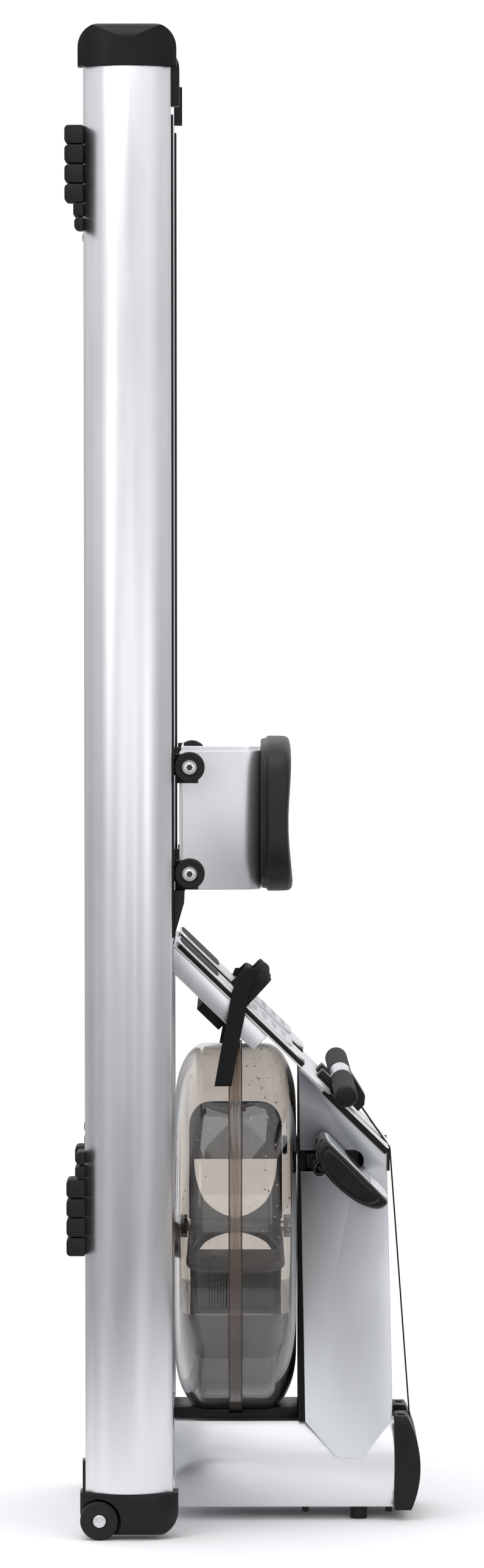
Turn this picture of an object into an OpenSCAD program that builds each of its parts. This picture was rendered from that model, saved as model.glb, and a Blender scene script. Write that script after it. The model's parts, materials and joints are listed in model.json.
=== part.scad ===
// Water rowing machine, stored upright on its front end.
// +Z is up (towards the rear of the machine in use), +X is the side that faces up in use,
// and -Y is the near side. All sizes are millimetres.

/* [Rails] */
// Clear distance between the two rails
rail_gap = 432; // [420:1:460]
// Width of a rail across its seat face's side view
rail_w = 122; // [112:1:130]
// Depth of a rail's flat inner part
rail_flat = 39; // [36:1:44]
// Depth of a rail's bulged outer part
rail_bulge = 28.5; // [20:0.5:30]
// Wall of the rail extrusion
rail_wall = 2.6; // [2:0.1:4]
// Length of a rail extrusion
rail_len = 1987.5; // [1900:0.5:2060]
// Height of the rails' lower end over the floor
rail_base_z = 64; // [62:1:70]
// How far the rails' seat faces lie left of the middle plane
rail_face = 101.5; // [100:0.5:103]
// Thickness of the running strips
track_t = 3; // [2:0.5:3.5]
// Width of the running strips
track_w = 30; // [24:1:34]
// Distance of a running strip from its rail's inner edge
track_inset = 5; // [3:0.5:8]
// Height of the rear end of the running strips
track_end_z = 1985; // [1960:1:1990]

/* [Rail ends] */
// How far the end caps overhang the rail's edges
cap_over = 7.5; // [4:0.5:8]
// How far the end caps stand out past the rail's bulge
cap_out = 1.5; // [1:0.5:3]
// Height of the rear end caps
rear_cap_h = 58.5; // [50:0.5:64]
// Depth of the front end caps below the rails
front_cap_h = 58.7; // [50:0.1:60]
// Radius that rounds the caps
cap_round = 32; // [24:1:34]
// Length of the plug of a cap inside its rail
cap_plug = 20; // [10:1:30]
// Length of the seat bumper under each rear cap
bumper_len = 55; // [40:1:60]
// Thickness of the seat bumper
bumper_t = 11.4; // [8:0.2:12]

/* [Rubber feet] */
// Pitch of the feet's ribs
rib_pitch = 27.2; // [26:0.1:28]
// Gap between two ribs
rib_gap = 1.9; // [1:0.1:3]
// How far the tall ribs stand out from the rail
tall_rib = 25.5; // [20:0.5:26]
// How far the short ribs stand out
short_rib = 12; // [8:0.5:14]
// Width of the ribs across the rail
rib_w = 56; // [40:1:60]
// Height of the middle of the rear feet's tall ribs
rear_feet_z = 1916; // [1890:1:1930]
// Height of the middle of the front feet's tall ribs
front_feet_z = 451; // [430:1:470]

/* [Cross members] */
// Depth of the cross members across the rails' side view
spreader_x = 60; // [40:1:80]
// Height of a cross member
spreader_z = 50; // [40:1:60]
// Wall of the cross members
spreader_wall = 3; // [2:0.5:4]
// Height of the middle of the rear cross member
rear_spreader_z = 1905; // [1880:1:1930]

/* [Columns] */
// Height of the column extrusions
column_h = 123.5; // [118:0.5:128]
// Depth of a column extrusion's flat part
column_flat = 50; // [46:1:52]
// Depth of a column extrusion's bulge
column_bulge = 10; // [6:1:12]
// Clear gap between the twin columns
column_gap = 76; // [72:1:80]
// Length of the columns from the rails' seat faces
column_len = 314.2; // [310:0.2:318]
// Wall of the column extrusions
column_wall = 3; // [2:0.5:4]
// Height of the rubber feet under the columns
foot_h = 19; // [17:0.5:24]
// Radius of the rubber feet under the columns
foot_r = 12; // [10:0.5:14]
// Distance of the rubber feet from the columns' outer ends
foot_inset = 51; // [45:1:60]
// Distance of the inner pads under the columns from the columns' outer ends
pad_inner = 127; // [110:1:140]
// Distance of the outer pads from the columns' outer ends
pad_outer = 8; // [6:1:12]
// Radius of the pads
pad_r = 5; // [4:0.5:7]
// Height of the pads
pad_h = 10; // [6:1:12]
// How far the column cap stands out from the columns
column_cap_t = 36.4; // [35:0.2:38]
// How far the column cap overhangs the columns' top
column_cap_over = 6.5; // [4:0.5:8]

/* [Tank] */
// Radius of the tank shell
tank_r = 262; // [250:1:264]
// Wall of the tank shell
tank_wall = 5; // [4:0.5:6]
// Half of the tank's depth
tank_half = 88.7; // [84:0.1:89]
// How far the tank's lower face sinks below the seat faces
tank_drop = 0.8; // [0:0.1:2]
// Depth of the shell's rounded corner
tank_corner_x = 43.6; // [35:0.2:50]
// Radial reach of the shell's rounded corner
tank_corner_r = 83; // [70:1:90]
// How far the outer face domes at its middle
tank_dome = 2.5; // [0:0.5:4]
// How far the seal band stands out from the shell
band_t = 5; // [4:0.5:7]
// Width of the seal band
band_w = 19; // [16:1:22]
// Gap between the seal band and the columns' top
tank_seat = 1.7; // [1:0.1:3]
// Half of the cradle's width under the tank
cradle_half = 56; // [50:1:60]
// Height of the cradle
cradle_h = 15; // [12:0.5:18]
// Wall of the bushes round the paddle shaft
bush_wall = 5; // [4:0.5:6]
// Radius of the bush in the drive board
board_bush_r = 18; // [16:0.5:20]
// Radius of that bush's flange
bush_flange_r = 30; // [26:1:32]
// Thickness of that bush's flange
bush_flange_t = 6; // [4:0.5:8]
// Depth of the water's surface below the tank's axis
water_drop = 101.5; // [95:0.5:150]
// Radius of the filler plug's bore
plug_r = 14; // [10:0.5:16]

/* [Paddle] */
// Radius of the blade tips
blade_r = 181; // [150:1:185]
// Width of a blade along the shaft
blade_w = 144; // [120:1:150]
// Thickness of a blade
blade_t = 3; // [2:0.5:5]
// Radius of the blades' outer corners
blade_corner = 38; // [20:1:45]
// Width of the window in a blade
window_w = 125; // [100:1:128]
// Radius at which the window's straight edge lies
window_r = 97; // [70:1:110]
// Turn of the paddle at rest, in degrees towards the near side
paddle_turn = -15; // [-30:5:30]
// Radius of the paddle hub
hub_r = 10.5; // [9.5:0.5:14]
// Radius of the paddle shaft
shaft_r = 7.5; // [6:0.5:8]

/* [Drive] */
// Width of the drive strap
strap_w = 20; // [14:1:22]
// Thickness of the drive strap
strap_t = 2; // [1:0.5:2]
// Radius of the strap wound on the drum
wound_r = 36; // [32:1:40]
// Radius of the drum's flanges
drum_flange_r = 45; // [43:1:50]
// Radius of the bungee wound on its spool
spool_r = 20; // [18:0.5:22]
// Radius of the bungee cord
bungee_r = 4; // [3:0.5:5]
// Distance of the drum's middle from the drive board
drum_out = 46; // [44:1:52]
// Clearance between the bungee's anchor and the deck cover
bungee_anchor_gap = 4.7; // [3:0.1:8]
// Distance of the front pulley's axle from the columns' ends
pulley_out = 8; // [7:0.5:9]
// Radius of the front pulley's tread
pulley_r = 17.3; // [15:0.1:18]
// Radius of the front pulley's flanges
pulley_flange_r = 22; // [21:0.5:23]
// Height of the front pulley's axle
pulley_z = 85; // [75:1:95]
// Radius of the bungee pulley's groove
bungee_pulley_r = 16; // [14:0.5:20]
// Height of the bungee pulley's axle
bungee_pulley_z = 190; // [185:1:240]
// Radius of the pulley axles
axle_r = 4; // [3:0.5:5]

/* [Side box] */
// Thickness of the side plates
plate_t = 2.5; // [2:0.5:3]
// How far the side plates hang below the columns' top
skirt_h = 52; // [48:1:60]
// Thickness of the drive board
board_t = 10; // [8:1:12]
// Height of the slot in the near side plate
notch_h = 30; // [26:1:34]
// Height of the middle of the slot over the tank's axis
notch_rise = 102.8; // [99.8:0.2:108.8]
// Length of the slot from the plate's edge
notch_len = 92; // [80:1:96]

/* [Foot deck] */
// Slope of the foot deck below the horizontal
slope = 44; // [43:0.5:45]
// Height at which the deck's line meets the rails, over the tank's top
deck_rise = 152.8; // [142.8:0.2:156.8]
// Length of the foot deck along its slope
deck_len = 309; // [300:1:312]
// Half of the foot deck's width
deck_half = 168; // [160:1:172]
// Thickness of the deck sheets
deck_t = 3; // [2:0.5:4]
// Length of the beams under the deck
beam_len = 187; // [170:1:200]
// Height of a beam
beam_h = 28; // [24:1:32]
// Width of a beam
beam_w = 25; // [20:1:30]
// Height of the black foot beds
bed_h = 6; // [4:0.5:8]
// Thickness of the foot plates
foot_plate_t = 3; // [2:0.5:4]
// Width of a foot plate
foot_plate_w = 118; // [110:1:126]
// Length of a foot plate
foot_plate_len = 246; // [240:1:250]
// Distance of a foot plate's middle line from the middle plane
foot_plate_y = 113; // [108:1:116]
// Length of a sliding heel plate
heel_len = 110; // [90:1:115]
// Width of the foot straps
webbing_w = 24; // [20:1:30]
// Thickness of the foot straps
webbing_t = 2.5; // [2:0.5:3]
// Height of a foot strap's arch over its plate
strap_arch = 59; // [50:1:62]

/* [Handle] */
// Radius of the foam grips
grip_r = 16; // [15:0.5:17]
// Length of the whole handle
handle_len = 480; // [420:2:500]
// Length of the bare middle of the handle
handle_mid = 60; // [50:1:80]
// Radius of the handle's tube
handle_tube_r = 12; // [10:0.5:14]
// Place of the handle along the deck's slope
handle_u = 312.6; // [310:0.2:318]
// Height of the handle's axis over the deck's line
handle_w = 22.8; // [22:0.2:25]
// Angle by which the stored handle's far end is raised
handle_raise = 2; // [0:0.5:3]
// Angle by which the stored handle's near end is swung away from the rails
handle_swing = 1; // [0:0.5:2]

/* [Seat] */
// Length of the seat frame along the rails
seat_len = 196.8; // [185:0.2:210]
// Half of the pedestal's width
seat_half = 98; // [85:1:105]
// Height of the pedestal over the rails' faces
seat_h = 124.2; // [115:0.2:130]
// Thickness of the seat frame's sheet
seat_t = 3; // [2.5:0.5:4]
// Height of the seat frame's lower edge over the start of the deck's line, at its front stop
seat_rise = 73; // [72.5:0.5:75]
// Radius of the seat wheels
seat_wheel_r = 21.2; // [19:0.2:22]
// Width of the seat wheels
seat_wheel_w = 20; // [16:1:22]
// How far the wheels' middle lies outside the running strips' middle
wheel_shift = 3; // [2:0.5:4]
// Distance between the two axles of the seat
wheelbase = 148.7; // [140:0.1:152]
// Radius of the seat's axles
seat_axle_r = 5; // [4:0.5:6]
// How far the cushion's middle lies above the frame's middle
cushion_shift = 6.3; // [4:0.1:8]
// Length of the cushion along the rails
cushion_len = 218; // [205:1:230]
// Width of the cushion
cushion_w = 300; // [260:2:330]
// Thickness of the cushion at its highest edge
cushion_h = 46; // [38:1:52]
// Depth of the cushion's saddle
cushion_dip = 10; // [4:1:14]

/* [Transport wheels] */
// Radius of the transport wheels
roller_r = 27; // [25:0.5:28]
// Width of the transport wheels
roller_w = 20; // [16:1:21]
// Distance of the transport wheels' axles from the seat faces
roller_x = 102.1; // [100:0.1:103]

/* [Monitor] */
// Length of the monitor's face
monitor_len = 130; // [120:1:140]
// Width of the monitor
monitor_w = 136; // [120:1:145]
// Greatest depth of the monitor
monitor_d = 37.5; // [36:0.5:42]
// Angle of the monitor's face to the vertical
monitor_tilt = 45; // [45:1:48]
// Size of a monitor button
button_size = 18; // [14:1:19]
// Radius of the monitor's hinge pin
hinge_r = 5; // [4:0.5:6]

/* [Hidden] */
$fn = 96;

// Clearances: between a moving piece and its neighbour, between a shaft and its bore
gap = 0.3;
fit = 0.05;
past = 1;
reach = 400;

near = 1;
far = 0;

// Rails and what lies on them
face_x = -rail_face;
rail_x = face_x - rail_w / 2;
rail_y = rail_gap / 2;
rail_top_z = rail_base_z + rail_len;
cap_w = rail_w + 2 * cap_over;
cap_flat = rail_flat + cap_out;
track_x = face_x + track_t;
track_y = rail_y + track_inset + track_w / 2;
foot_back = rail_x - rail_w / 2;

// Columns
column_z0 = foot_h;
column_top = column_z0 + column_h;
column_y = column_gap / 2;
column_out = column_y + column_flat + column_bulge;
column_end = face_x + column_len;

// Tank, whose seal band hangs just over the columns
tank_x = face_x + tank_half - tank_drop;
band_r = tank_r + band_t;
tank_z = column_top + tank_seat + band_r;
tank_top_x = tank_x + tank_half;

// Box over the tank
board_x = tank_top_x + gap;
board_front = board_x + board_t;
side_y = column_out + gap;

// Foot deck's line: u runs down the slope from the rails, w stands up from it
deck_x0 = face_x - 1.5;
deck_z0 = tank_z + tank_r + deck_rise;
function deck_x(u, w = 0) = deck_x0 + u * cos(slope) + w * sin(slope);
function deck_z(u, w = 0) = deck_z0 - u * sin(slope) + w * cos(slope);
function deck_z_at(x, w = 0) = deck_z0 - (x - deck_x0) * tan(slope) + w / cos(slope);
bed_top = deck_t + bed_h;
plate_top = bed_top + foot_plate_t;
cover_start = 256;
lip_x = 204.6;
cover_end = (lip_x - deck_x0) / cos(slope);

// Height of the slot's middle
notch_z = tank_z + notch_rise;

// Side plates' outline, whose right edge leans like the photographed one
plate_left_top = board_x + 0.6;
plate_left_low = board_front - 0.5;
plate_right_top = lip_x - deck_t - 0.2;
plate_right_low = plate_right_top + 7.5;

// Drive: the strap runs from the handle round the front pulley to the drum
strap_path = pulley_r + gap + strap_t / 2;
pulley_x = column_end + pulley_out;
drum_x = board_front + drum_out;
drum_path = wound_r + gap + strap_t / 2;
drum_touch = asin(drum_path / (tank_z - pulley_z));
drum_half = strap_w / 2 + 12;
flange_t = 3;
spool_x = drum_x + drum_half + flange_t + bungee_r + 5;
spool_path = spool_r + gap + bungee_r;
bungee_path = bungee_pulley_r + gap + bungee_r;
bungee_y = -spool_path - bungee_path;
shaft_end = spool_x + bungee_r + 12;

// Anchor of the bungee, which hangs under the cover
anchor_half = 8;
anchor_h = 14;
bungee_anchor_z = deck_z_at(spool_x + anchor_half, -deck_t) - bungee_anchor_gap - anchor_h;

// Handle
handle_x = deck_x(handle_u, handle_w);
handle_z = deck_z(handle_u, handle_w);
clamp_len = 46;
clamp_half = 22;

// Seat, whose flanges lie below its axles
seat_z0 = deck_z0 + seat_rise;
axle_cover = 9.5;
wiper_t = 1.6;
wheel_x = track_x + gap + seat_wheel_r;
wheel_y = track_y + wheel_shift;
seat_mid = seat_z0 + seat_len / 2 + cushion_shift;
wheel_zs = [seat_mid - wheelbase / 2, seat_mid + wheelbase / 2];
flange_x = wheel_x - seat_axle_r - axle_cover;
pedestal_x = face_x + seat_h;
guide_down = seat_wheel_r + wiper_t;
guide_up = 18;
guide_half = 12;
guide_w = 10;
guide_deep = 16;
seat_bend = 26;
guide_low = wheel_zs[0] - guide_down;
stop_top = guide_low - gap;

// Transport wheels
roller_cx = face_x - roller_x;
roller_y = rail_y + rail_flat + rail_bulge - 3.5 - roller_w / 2;

// Monitor: a runs down its face, b is the depth behind it
monitor_y = side_y + plate_t + 5;
hinge_x = board_front + 18.6;
hinge_z = notch_z - 1;
hinge_a = 29.5;
hinge_b = 39;
button_travel = 1;
button_a = 100;
button_ys = [monitor_w / 2 - 26, monitor_w / 2 + 8];
screen_a = 10;
screen_len = 84;
screen_edge = 9;
screen_t = 3;
lug_len = 30;
lug_r = hinge_r + 4;
button_deep = 7;
lug_ys = [18, monitor_w - 18 - lug_len];

module at_side(side) mirror([0, side, 0]) children();
module both_sides() for (side = [near, far]) at_side(side) children();
module on_deck() translate([deck_x0, 0, deck_z0]) rotate([0, slope, 0]) children();
module along_y(from, length, r) translate([0, from, 0]) rotate([-90, 0, 0]) cylinder(h = length, r = r);
module along_x(from, length, r) translate([from, 0, 0]) rotate([0, 90, 0]) cylinder(h = length, r = r);
module side_view(from, length)
    translate([0, from + length, 0]) rotate([90, 0, 0]) linear_extrude(length) children();
module block(low, high) translate(low) cube(high - low);

// D-shaped outline: a flat inner part from y = 0 and a bulged outer side
module d_outline(w, flat, bulge, inset = 0) {
    radius = (w * w / 4 + bulge * bulge) / (2 * bulge);
    intersection() {
        translate([inset - w / 2, inset]) square([w - 2 * inset, flat + bulge - 2 * inset]);
        translate([0, flat + bulge - radius]) circle(radius - inset);
    }
}

// Rectangle whose two far corners are round
module round_top(w, h, r) {
    translate([-w / 2, 0]) square([w, h - r]);
    translate([r - w / 2, 0]) square([w - 2 * r, h]);
    for (side = [-1, 1]) translate([side * (w / 2 - r), h - r]) circle(r);
}

// Rectangle with four round corners
module rounded(w, h, r) {
    translate([-w / 2, r - h / 2]) square([w, h - 2 * r]);
    translate([r - w / 2, -h / 2]) square([w - 2 * r, h]);
    for (i = [-1, 1], j = [-1, 1]) translate([i * (w / 2 - r), j * (h / 2 - r)]) circle(r);
}

module rail(side) color("#c9cbce") at_side(side)
    translate([rail_x, rail_y, rail_base_z]) linear_extrude(rail_len) difference() {
        d_outline(rail_w, rail_flat, rail_bulge);
        d_outline(rail_w, rail_flat, rail_bulge, rail_wall);
    }

module seat_tracks() color("#26272a") both_sides()
    block([face_x, track_y - track_w / 2, deck_z0 + 14], [track_x, track_y + track_w / 2, track_end_z]);

// Domed cap on a rail's end, pointing up, with a plug inside the rail
module end_cap(h) {
    intersection() {
        translate([0, -cap_out, 0]) linear_extrude(h) d_outline(cap_w, cap_flat, rail_bulge + cap_out);
        side_view(-50, 200) round_top(cap_w, h, cap_round);
        translate([-cap_w, (rail_flat + rail_bulge) / 2, 0]) rotate([90, 0, 90])
            linear_extrude(2 * cap_w) round_top(rail_flat + rail_bulge + 2 * cap_out, h, cap_round * 0.75);
    }
    translate([0, 0, -cap_plug]) linear_extrude(cap_plug)
        d_outline(rail_w, rail_flat, rail_bulge, rail_wall + gap);
}

module rear_cap(side) color("#1b1b1d") at_side(side) {
    translate([rail_x, rail_y, rail_top_z]) end_cap(rear_cap_h);
    block([face_x, track_y - track_w / 2, rail_top_z - bumper_len],
          [face_x + bumper_t, track_y + track_w / 2, rail_top_z]);
}

module front_cap(side) color("#1b1b1d") at_side(side) difference() {
    union() {
        translate([rail_x, rail_y, rail_base_z]) mirror([0, 0, 1]) end_cap(front_cap_h);
        block([foot_back - 4, track_y - 14, rail_base_z], [foot_back, track_y + 14, rail_base_z + 44]);
    }
    translate([roller_cx, 0, roller_r]) along_y(roller_y - roller_w / 2 - gap, 60, roller_r + 3);
    block([roller_cx - reach, roller_y - roller_w / 2 - gap, -past], [roller_cx, reach, roller_r]);
    translate([roller_cx, 0, roller_r]) along_y(roller_y - roller_w / 2 - 12, 20, seat_axle_r);
}

// One ribbed rubber foot: tall ribs, then short ribs towards the machine's middle
module ribbed_foot(z, towards) both_sides()
    for (i = [0:5]) {
        out = i < 4 ? tall_rib : short_rib;
        pitch = i < 4 ? rib_pitch : rib_pitch * 0.72;
        mid = i < 4 ? (i - 1.5) * rib_pitch : 2 * rib_pitch + (i - 3.5) * pitch - 0.6;
        h = pitch - rib_gap;
        translate([foot_back, 0, z + towards * mid])
            side_view(rail_y + 4, rib_w) rotate(90) round_top(h, out, 6);
    }

module rubber_feet() color("#242424") {
    ribbed_foot(rear_feet_z, -1);
    ribbed_foot(front_feet_z, 1);
}

// A square tube between the rails
module spreader(z, h, x) translate([x, 0, z]) difference() {
    block([-spreader_x / 2, -rail_y, -h / 2], [spreader_x / 2, rail_y, h / 2]);
    block([spreader_wall - spreader_x / 2, -rail_y - past, spreader_wall - h / 2],
          [spreader_x / 2 - spreader_wall, rail_y + past, h / 2 - spreader_wall]);
}

module rail_spreaders() color("#b9bbbe") {
    spreader((rail_base_z + column_top) / 2, column_top - rail_base_z, face_x - spreader_x / 2);
    spreader(deck_z0 - spreader_z / 2, spreader_z, face_x - spreader_x / 2);
    spreader(tank_z, spreader_z, face_x - tank_drop - gap - spreader_x / 2);
    spreader(rear_spreader_z, spreader_z, rail_x);
}

module column(side) color("#c9cbce") at_side(side)
    translate([face_x, column_y, (column_z0 + column_top) / 2]) rotate([0, 90, 0])
        linear_extrude(column_len) difference() {
            d_outline(column_h, column_flat, column_bulge);
            d_outline(column_h, column_flat, column_bulge, column_wall);
        }

// Side view of the column cap's dome, and what its pocket, slot and screws share
dome_r = 147;
pocket_r = pulley_flange_r + 1.5;
pocket_half = strap_w / 2 + 6;
slot_half = strap_w / 2 + 2;
cap_screw = [column_end + 9, 70];
cap_screw_r = 3;
module cap_dome() {
    low = column_z0 - 4;
    high = column_top + column_cap_over;
    lowered = 6;
    intersection() {
        translate([column_end, low]) square([column_cap_t, high - low]);
        translate([column_end + column_cap_t - dome_r, (low + high) / 2 - lowered]) circle(dome_r);
    }
}

module column_cap() color("#1b1b1d") difference() {
    intersection() {
        side_view(-column_out, 2 * column_out) cap_dome();
        translate([column_end - past, 0, 0]) rotate([90, 0, 90]) linear_extrude(100)
            translate([0, (column_z0 + column_top) / 2]) rounded(2 * column_out, column_h + 20, 14);
    }
    translate([pulley_x, 0, pulley_z]) along_y(-pocket_half, 2 * pocket_half, pocket_r);
    block([column_end - past, -pocket_half, pulley_z - pocket_r], [pulley_x, pocket_half, column_top - 10]);
    block([pulley_x + strap_path - 5, -slot_half, pulley_z], [pulley_x + strap_path + 30, slot_half, 200]);
    block([column_end - past, 8 - column_y, column_top - 3], [pulley_x + 11, column_y - 8, 200]);
    pulley_axle();
    both_sides() translate([cap_screw[0], cap_screw[1], column_top - 12]) cylinder(h = 60, r = cap_screw_r);
}

module column_feet() color("#1a1a1a") both_sides() {
    mid = column_y + column_flat / 2;
    translate([column_end - foot_inset, mid, 0]) cylinder(h = foot_h, r = foot_r);
    for (x = [column_end - pad_inner, column_end - pad_outer])
        translate([x, mid, foot_h - pad_h]) cylinder(h = pad_h, r = pad_r);
}

// Half of the tank's outer outline: x from the seam outwards, y is the radius
function shell_line(inset) = [
    for (a = [0:6:90])
        [tank_half - tank_dome - tank_corner_x + (tank_corner_x - inset) * sin(a),
         tank_r - tank_corner_r + (tank_corner_r - inset) * cos(a)],
    [tank_half - inset, 0]
];
module turned_shell(seam, inset) rotate([0, 90, 0]) rotate([0, 0, 180]) rotate_extrude()
    polygon([[0, seam], [tank_r - inset, seam], for (p = shell_line(inset)) [p[1], p[0]]]);

// One shell of the tank, with a boss inside for the shaft's bush
boss_len = 14;
boss_wall = 4;
bush_end = 4;
bush_r = shaft_r + bush_wall;
module tank_shell(bore_end) difference() {
    turned_shell(0.7, 0);
    difference() {
        turned_shell(0.7 - past, tank_wall);
        along_x(tank_half - boss_len, 2 * boss_len, bush_r + boss_wall);
    }
    along_x(tank_half - boss_len - past, boss_len + past - bore_end, bush_r);
}

module tank_lower_shell() color("#8a7a6e", 0.5)
    translate([tank_x, 0, tank_z]) mirror([1, 0, 0]) tank_shell(bush_end);

plug_y = side_y + plate_t + plug_r + 9;
plug_z = tank_z + 105;
plug_face = tank_x + tank_half - tank_dome + 4;
module tank_upper_shell() color("#8a7a6e", 0.5) difference() {
    union() {
        translate([tank_x, 0, tank_z]) tank_shell(-past);
        translate([0, plug_y, plug_z]) along_x(plug_face - 9, 9, plug_r + 4);
    }
    translate([0, plug_y, plug_z]) along_x(plug_face - 30, 60, plug_r);
}

// Band that clamps the two shells, with a web between their edges
module tank_seal() color("#6f645b", 0.6) translate([tank_x, 0, tank_z]) difference() {
    along_x(-band_w / 2, band_w, band_r);
    along_x(-band_w / 2 - past, band_w / 2 + past - 0.7, tank_r);
    along_x(0.7, band_w / 2 + past, tank_r);
    along_x(-band_w, 2 * band_w, tank_r - tank_wall);
}

// Bushes that carry the paddle shaft at both ends of the tank, and the one on the board
module tank_bearings() color("#3a3a3c") translate([0, 0, tank_z]) difference() {
    union() {
        along_x(tank_x - tank_half + bush_end, boss_len - bush_end, bush_r);
        along_x(tank_top_x - boss_len, boss_len, bush_r);
        along_x(board_x, board_t, board_bush_r);
        along_x(board_front, bush_flange_t, bush_flange_r);
    }
    along_x(tank_x - tank_half, 300, shaft_r + fit);
}

module tank_plug() color("#1b1b1d") translate([0, plug_y, plug_z]) {
    along_x(plug_face - 14, 14, plug_r - gap);
    along_x(plug_face + gap, 7, plug_r + 3);
    along_x(plug_face - past, 2, plug_r - gap);
}

// Water, which makes room for the blade that stands in it at rest
module water() color("#7d8f98", 0.5) translate([tank_x, 0, tank_z]) difference() {
    union() {
        turned_shell(0, tank_wall + gap);
        mirror([1, 0, 0]) turned_shell(0, tank_wall + gap);
    }
    block([-reach, -reach, -water_drop], [reach, reach, reach]);
    at_blades() side_view(-blade_t / 2 - gap, blade_t + 2 * gap)
        round_top(blade_w + 2 * gap, blade_r + gap, blade_corner + gap);
}

module tank_cradle() color("#161617") difference() {
    block([tank_x - tank_half, -cradle_half, column_top],
          [tank_x + tank_half, cradle_half, column_top + cradle_h]);
    translate([tank_x, 0, tank_z]) {
        turned_shell(-past, -gap);
        mirror([1, 0, 0]) turned_shell(-past, -gap);
        along_x(-band_w / 2 - gap, band_w + 2 * gap, band_r + gap);
    }
}

board_top = deck_z_at(board_front, -deck_t) - 2;
module drive_board() color("#161617") difference() {
    block([board_x, -side_y, column_top], [board_front, side_y, board_top]);
    translate([0, 0, tank_z]) along_x(board_x - past, board_t + 2, board_bush_r);
}

skirt_z = column_top - skirt_h;
skirt_run = 38;
module side_outline() polygon([
    [plate_left_top, deck_z_at(plate_left_top, -deck_t)],
    [plate_right_top, deck_z_at(plate_right_top, -deck_t)],
    [plate_right_top, deck_z_at(lip_x, -deck_t) - 20],
    [plate_right_low, column_top + 29],
    [plate_right_low - 2, column_top],
    [plate_right_low - skirt_run, skirt_z + 5],
    [plate_right_low - skirt_run - 9, skirt_z],
    [plate_left_low + skirt_run + 10, skirt_z],
    [plate_left_low + skirt_run + 4, skirt_z + 3],
    [plate_left_low, column_top]
]);

module side_plate(side) color("#c3c5c8") at_side(side) difference() {
    side_view(side_y, plate_t) side_outline();
    if (side == near) {
        block([0, side_y - past, notch_z - notch_h / 2],
              [plate_left_top + notch_len - notch_h / 2, side_y + 9, notch_z + notch_h / 2]);
        translate([plate_left_top + notch_len - notch_h / 2, 0, notch_z])
            along_y(side_y - past, plate_t + 2, notch_h / 2);
    }
}

// Two screws that hold the column cap
module screws() color("#2b2b2d") both_sides() translate([cap_screw[0], cap_screw[1], column_top]) {
    translate([0, 0, -10]) cylinder(h = 12 + column_cap_over, r = cap_screw_r - fit);
    translate([0, 0, column_cap_over]) cylinder(h = 2, r = cap_screw_r + 2.5);
}

cover_half = side_y + plate_t + gap + 2;

// Slanted cover over the side plates, with lips at its edges and a fold at its end
module deck_cover() color("#d2d3d4") difference() {
    union() {
        on_deck() block([cover_start, -cover_half, -deck_t], [cover_end, cover_half, 0]);
        both_sides() on_deck()
            block([cover_start, side_y + plate_t + gap, -deck_t - 3], [cover_end - 6, cover_half, 0]);
        block([lip_x - deck_t, -side_y, deck_z_at(lip_x) - 27], [lip_x, side_y, deck_z_at(lip_x) - 1]);
    }
    block([lip_x, -200, 0], [lip_x + 50, 200, deck_z_at(lip_x) + 50]);
}

drive_cover_t = 2;
module drive_cover() color("#bfc1c4") side_view(-side_y, 2 * side_y) polygon([
    [plate_right_top - 1 - drive_cover_t, deck_z_at(lip_x) - 28], [plate_right_top - 1, deck_z_at(lip_x) - 28],
    [plate_right_low - 2, column_top + 25], [plate_right_low - 4, column_top + gap],
    [plate_right_low - 4 - drive_cover_t, column_top + gap]
]);

module foot_deck() color("#dcdddd") on_deck() intersection() {
    block([4, -deck_half, 0], [deck_len, deck_half, deck_t]);
    translate([deck_len / 2 - 20, 0, -past]) linear_extrude(deck_t + 2)
        rounded(deck_len + 40, 2 * deck_half, 30);
}

beam_y = deck_half - 5;
beam_wall = 2.5;
module foot_beams() color("#c9cbce") both_sides() difference() {
    on_deck() block([-60, beam_y - beam_w, -beam_h], [beam_len, beam_y, 0]);
    on_deck() block([-70, beam_y - beam_w + beam_wall, -beam_h + beam_wall],
                    [beam_len + past, beam_y - beam_wall, -beam_wall]);
    block([face_x - reach, 0, 0], [face_x, reach, deck_z0 + reach]);
}

// Black bed under the foot plates, with a rib that hangs between the beams
plate_u = 4;
module foot_bed() color("#1d1d1f") {
    inset = 2;
    both_sides() on_deck()
        block([plate_u + 2 * inset, foot_plate_y - foot_plate_w / 2 + inset, deck_t],
              [plate_u + foot_plate_len + inset, foot_plate_y + foot_plate_w / 2 - inset, bed_top]);
    on_deck() block([90, 1 + beam_w - beam_y, -beam_h - 15], [133, beam_y - 1 - beam_w, 0]);
}

module foot_plates() color("#d8d9da") both_sides() on_deck()
    translate([plate_u + foot_plate_len / 2, foot_plate_y, bed_top]) linear_extrude(foot_plate_t)
        difference() {
            rounded(foot_plate_len, foot_plate_w, 16);
            for (y = [-34, 0, 34]) translate([-60, y]) rounded(70, 8, 3.9);
        }

heel_travel = 30;
heel_t = 3;
heel_u = plate_u + foot_plate_len + 2 - heel_len / 2 - heel_travel;
module heel_plate(side) color("#e3e3e3") at_side(side) on_deck()
    translate([heel_u, foot_plate_y, plate_top + gap]) linear_extrude(heel_t) difference() {
        rounded(heel_len, foot_plate_w - 6, 14);
        for (i = [-2:2], j = [-1, 1]) translate([i * 19, j * 26]) rounded(9, 30, 4);
    }

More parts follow.
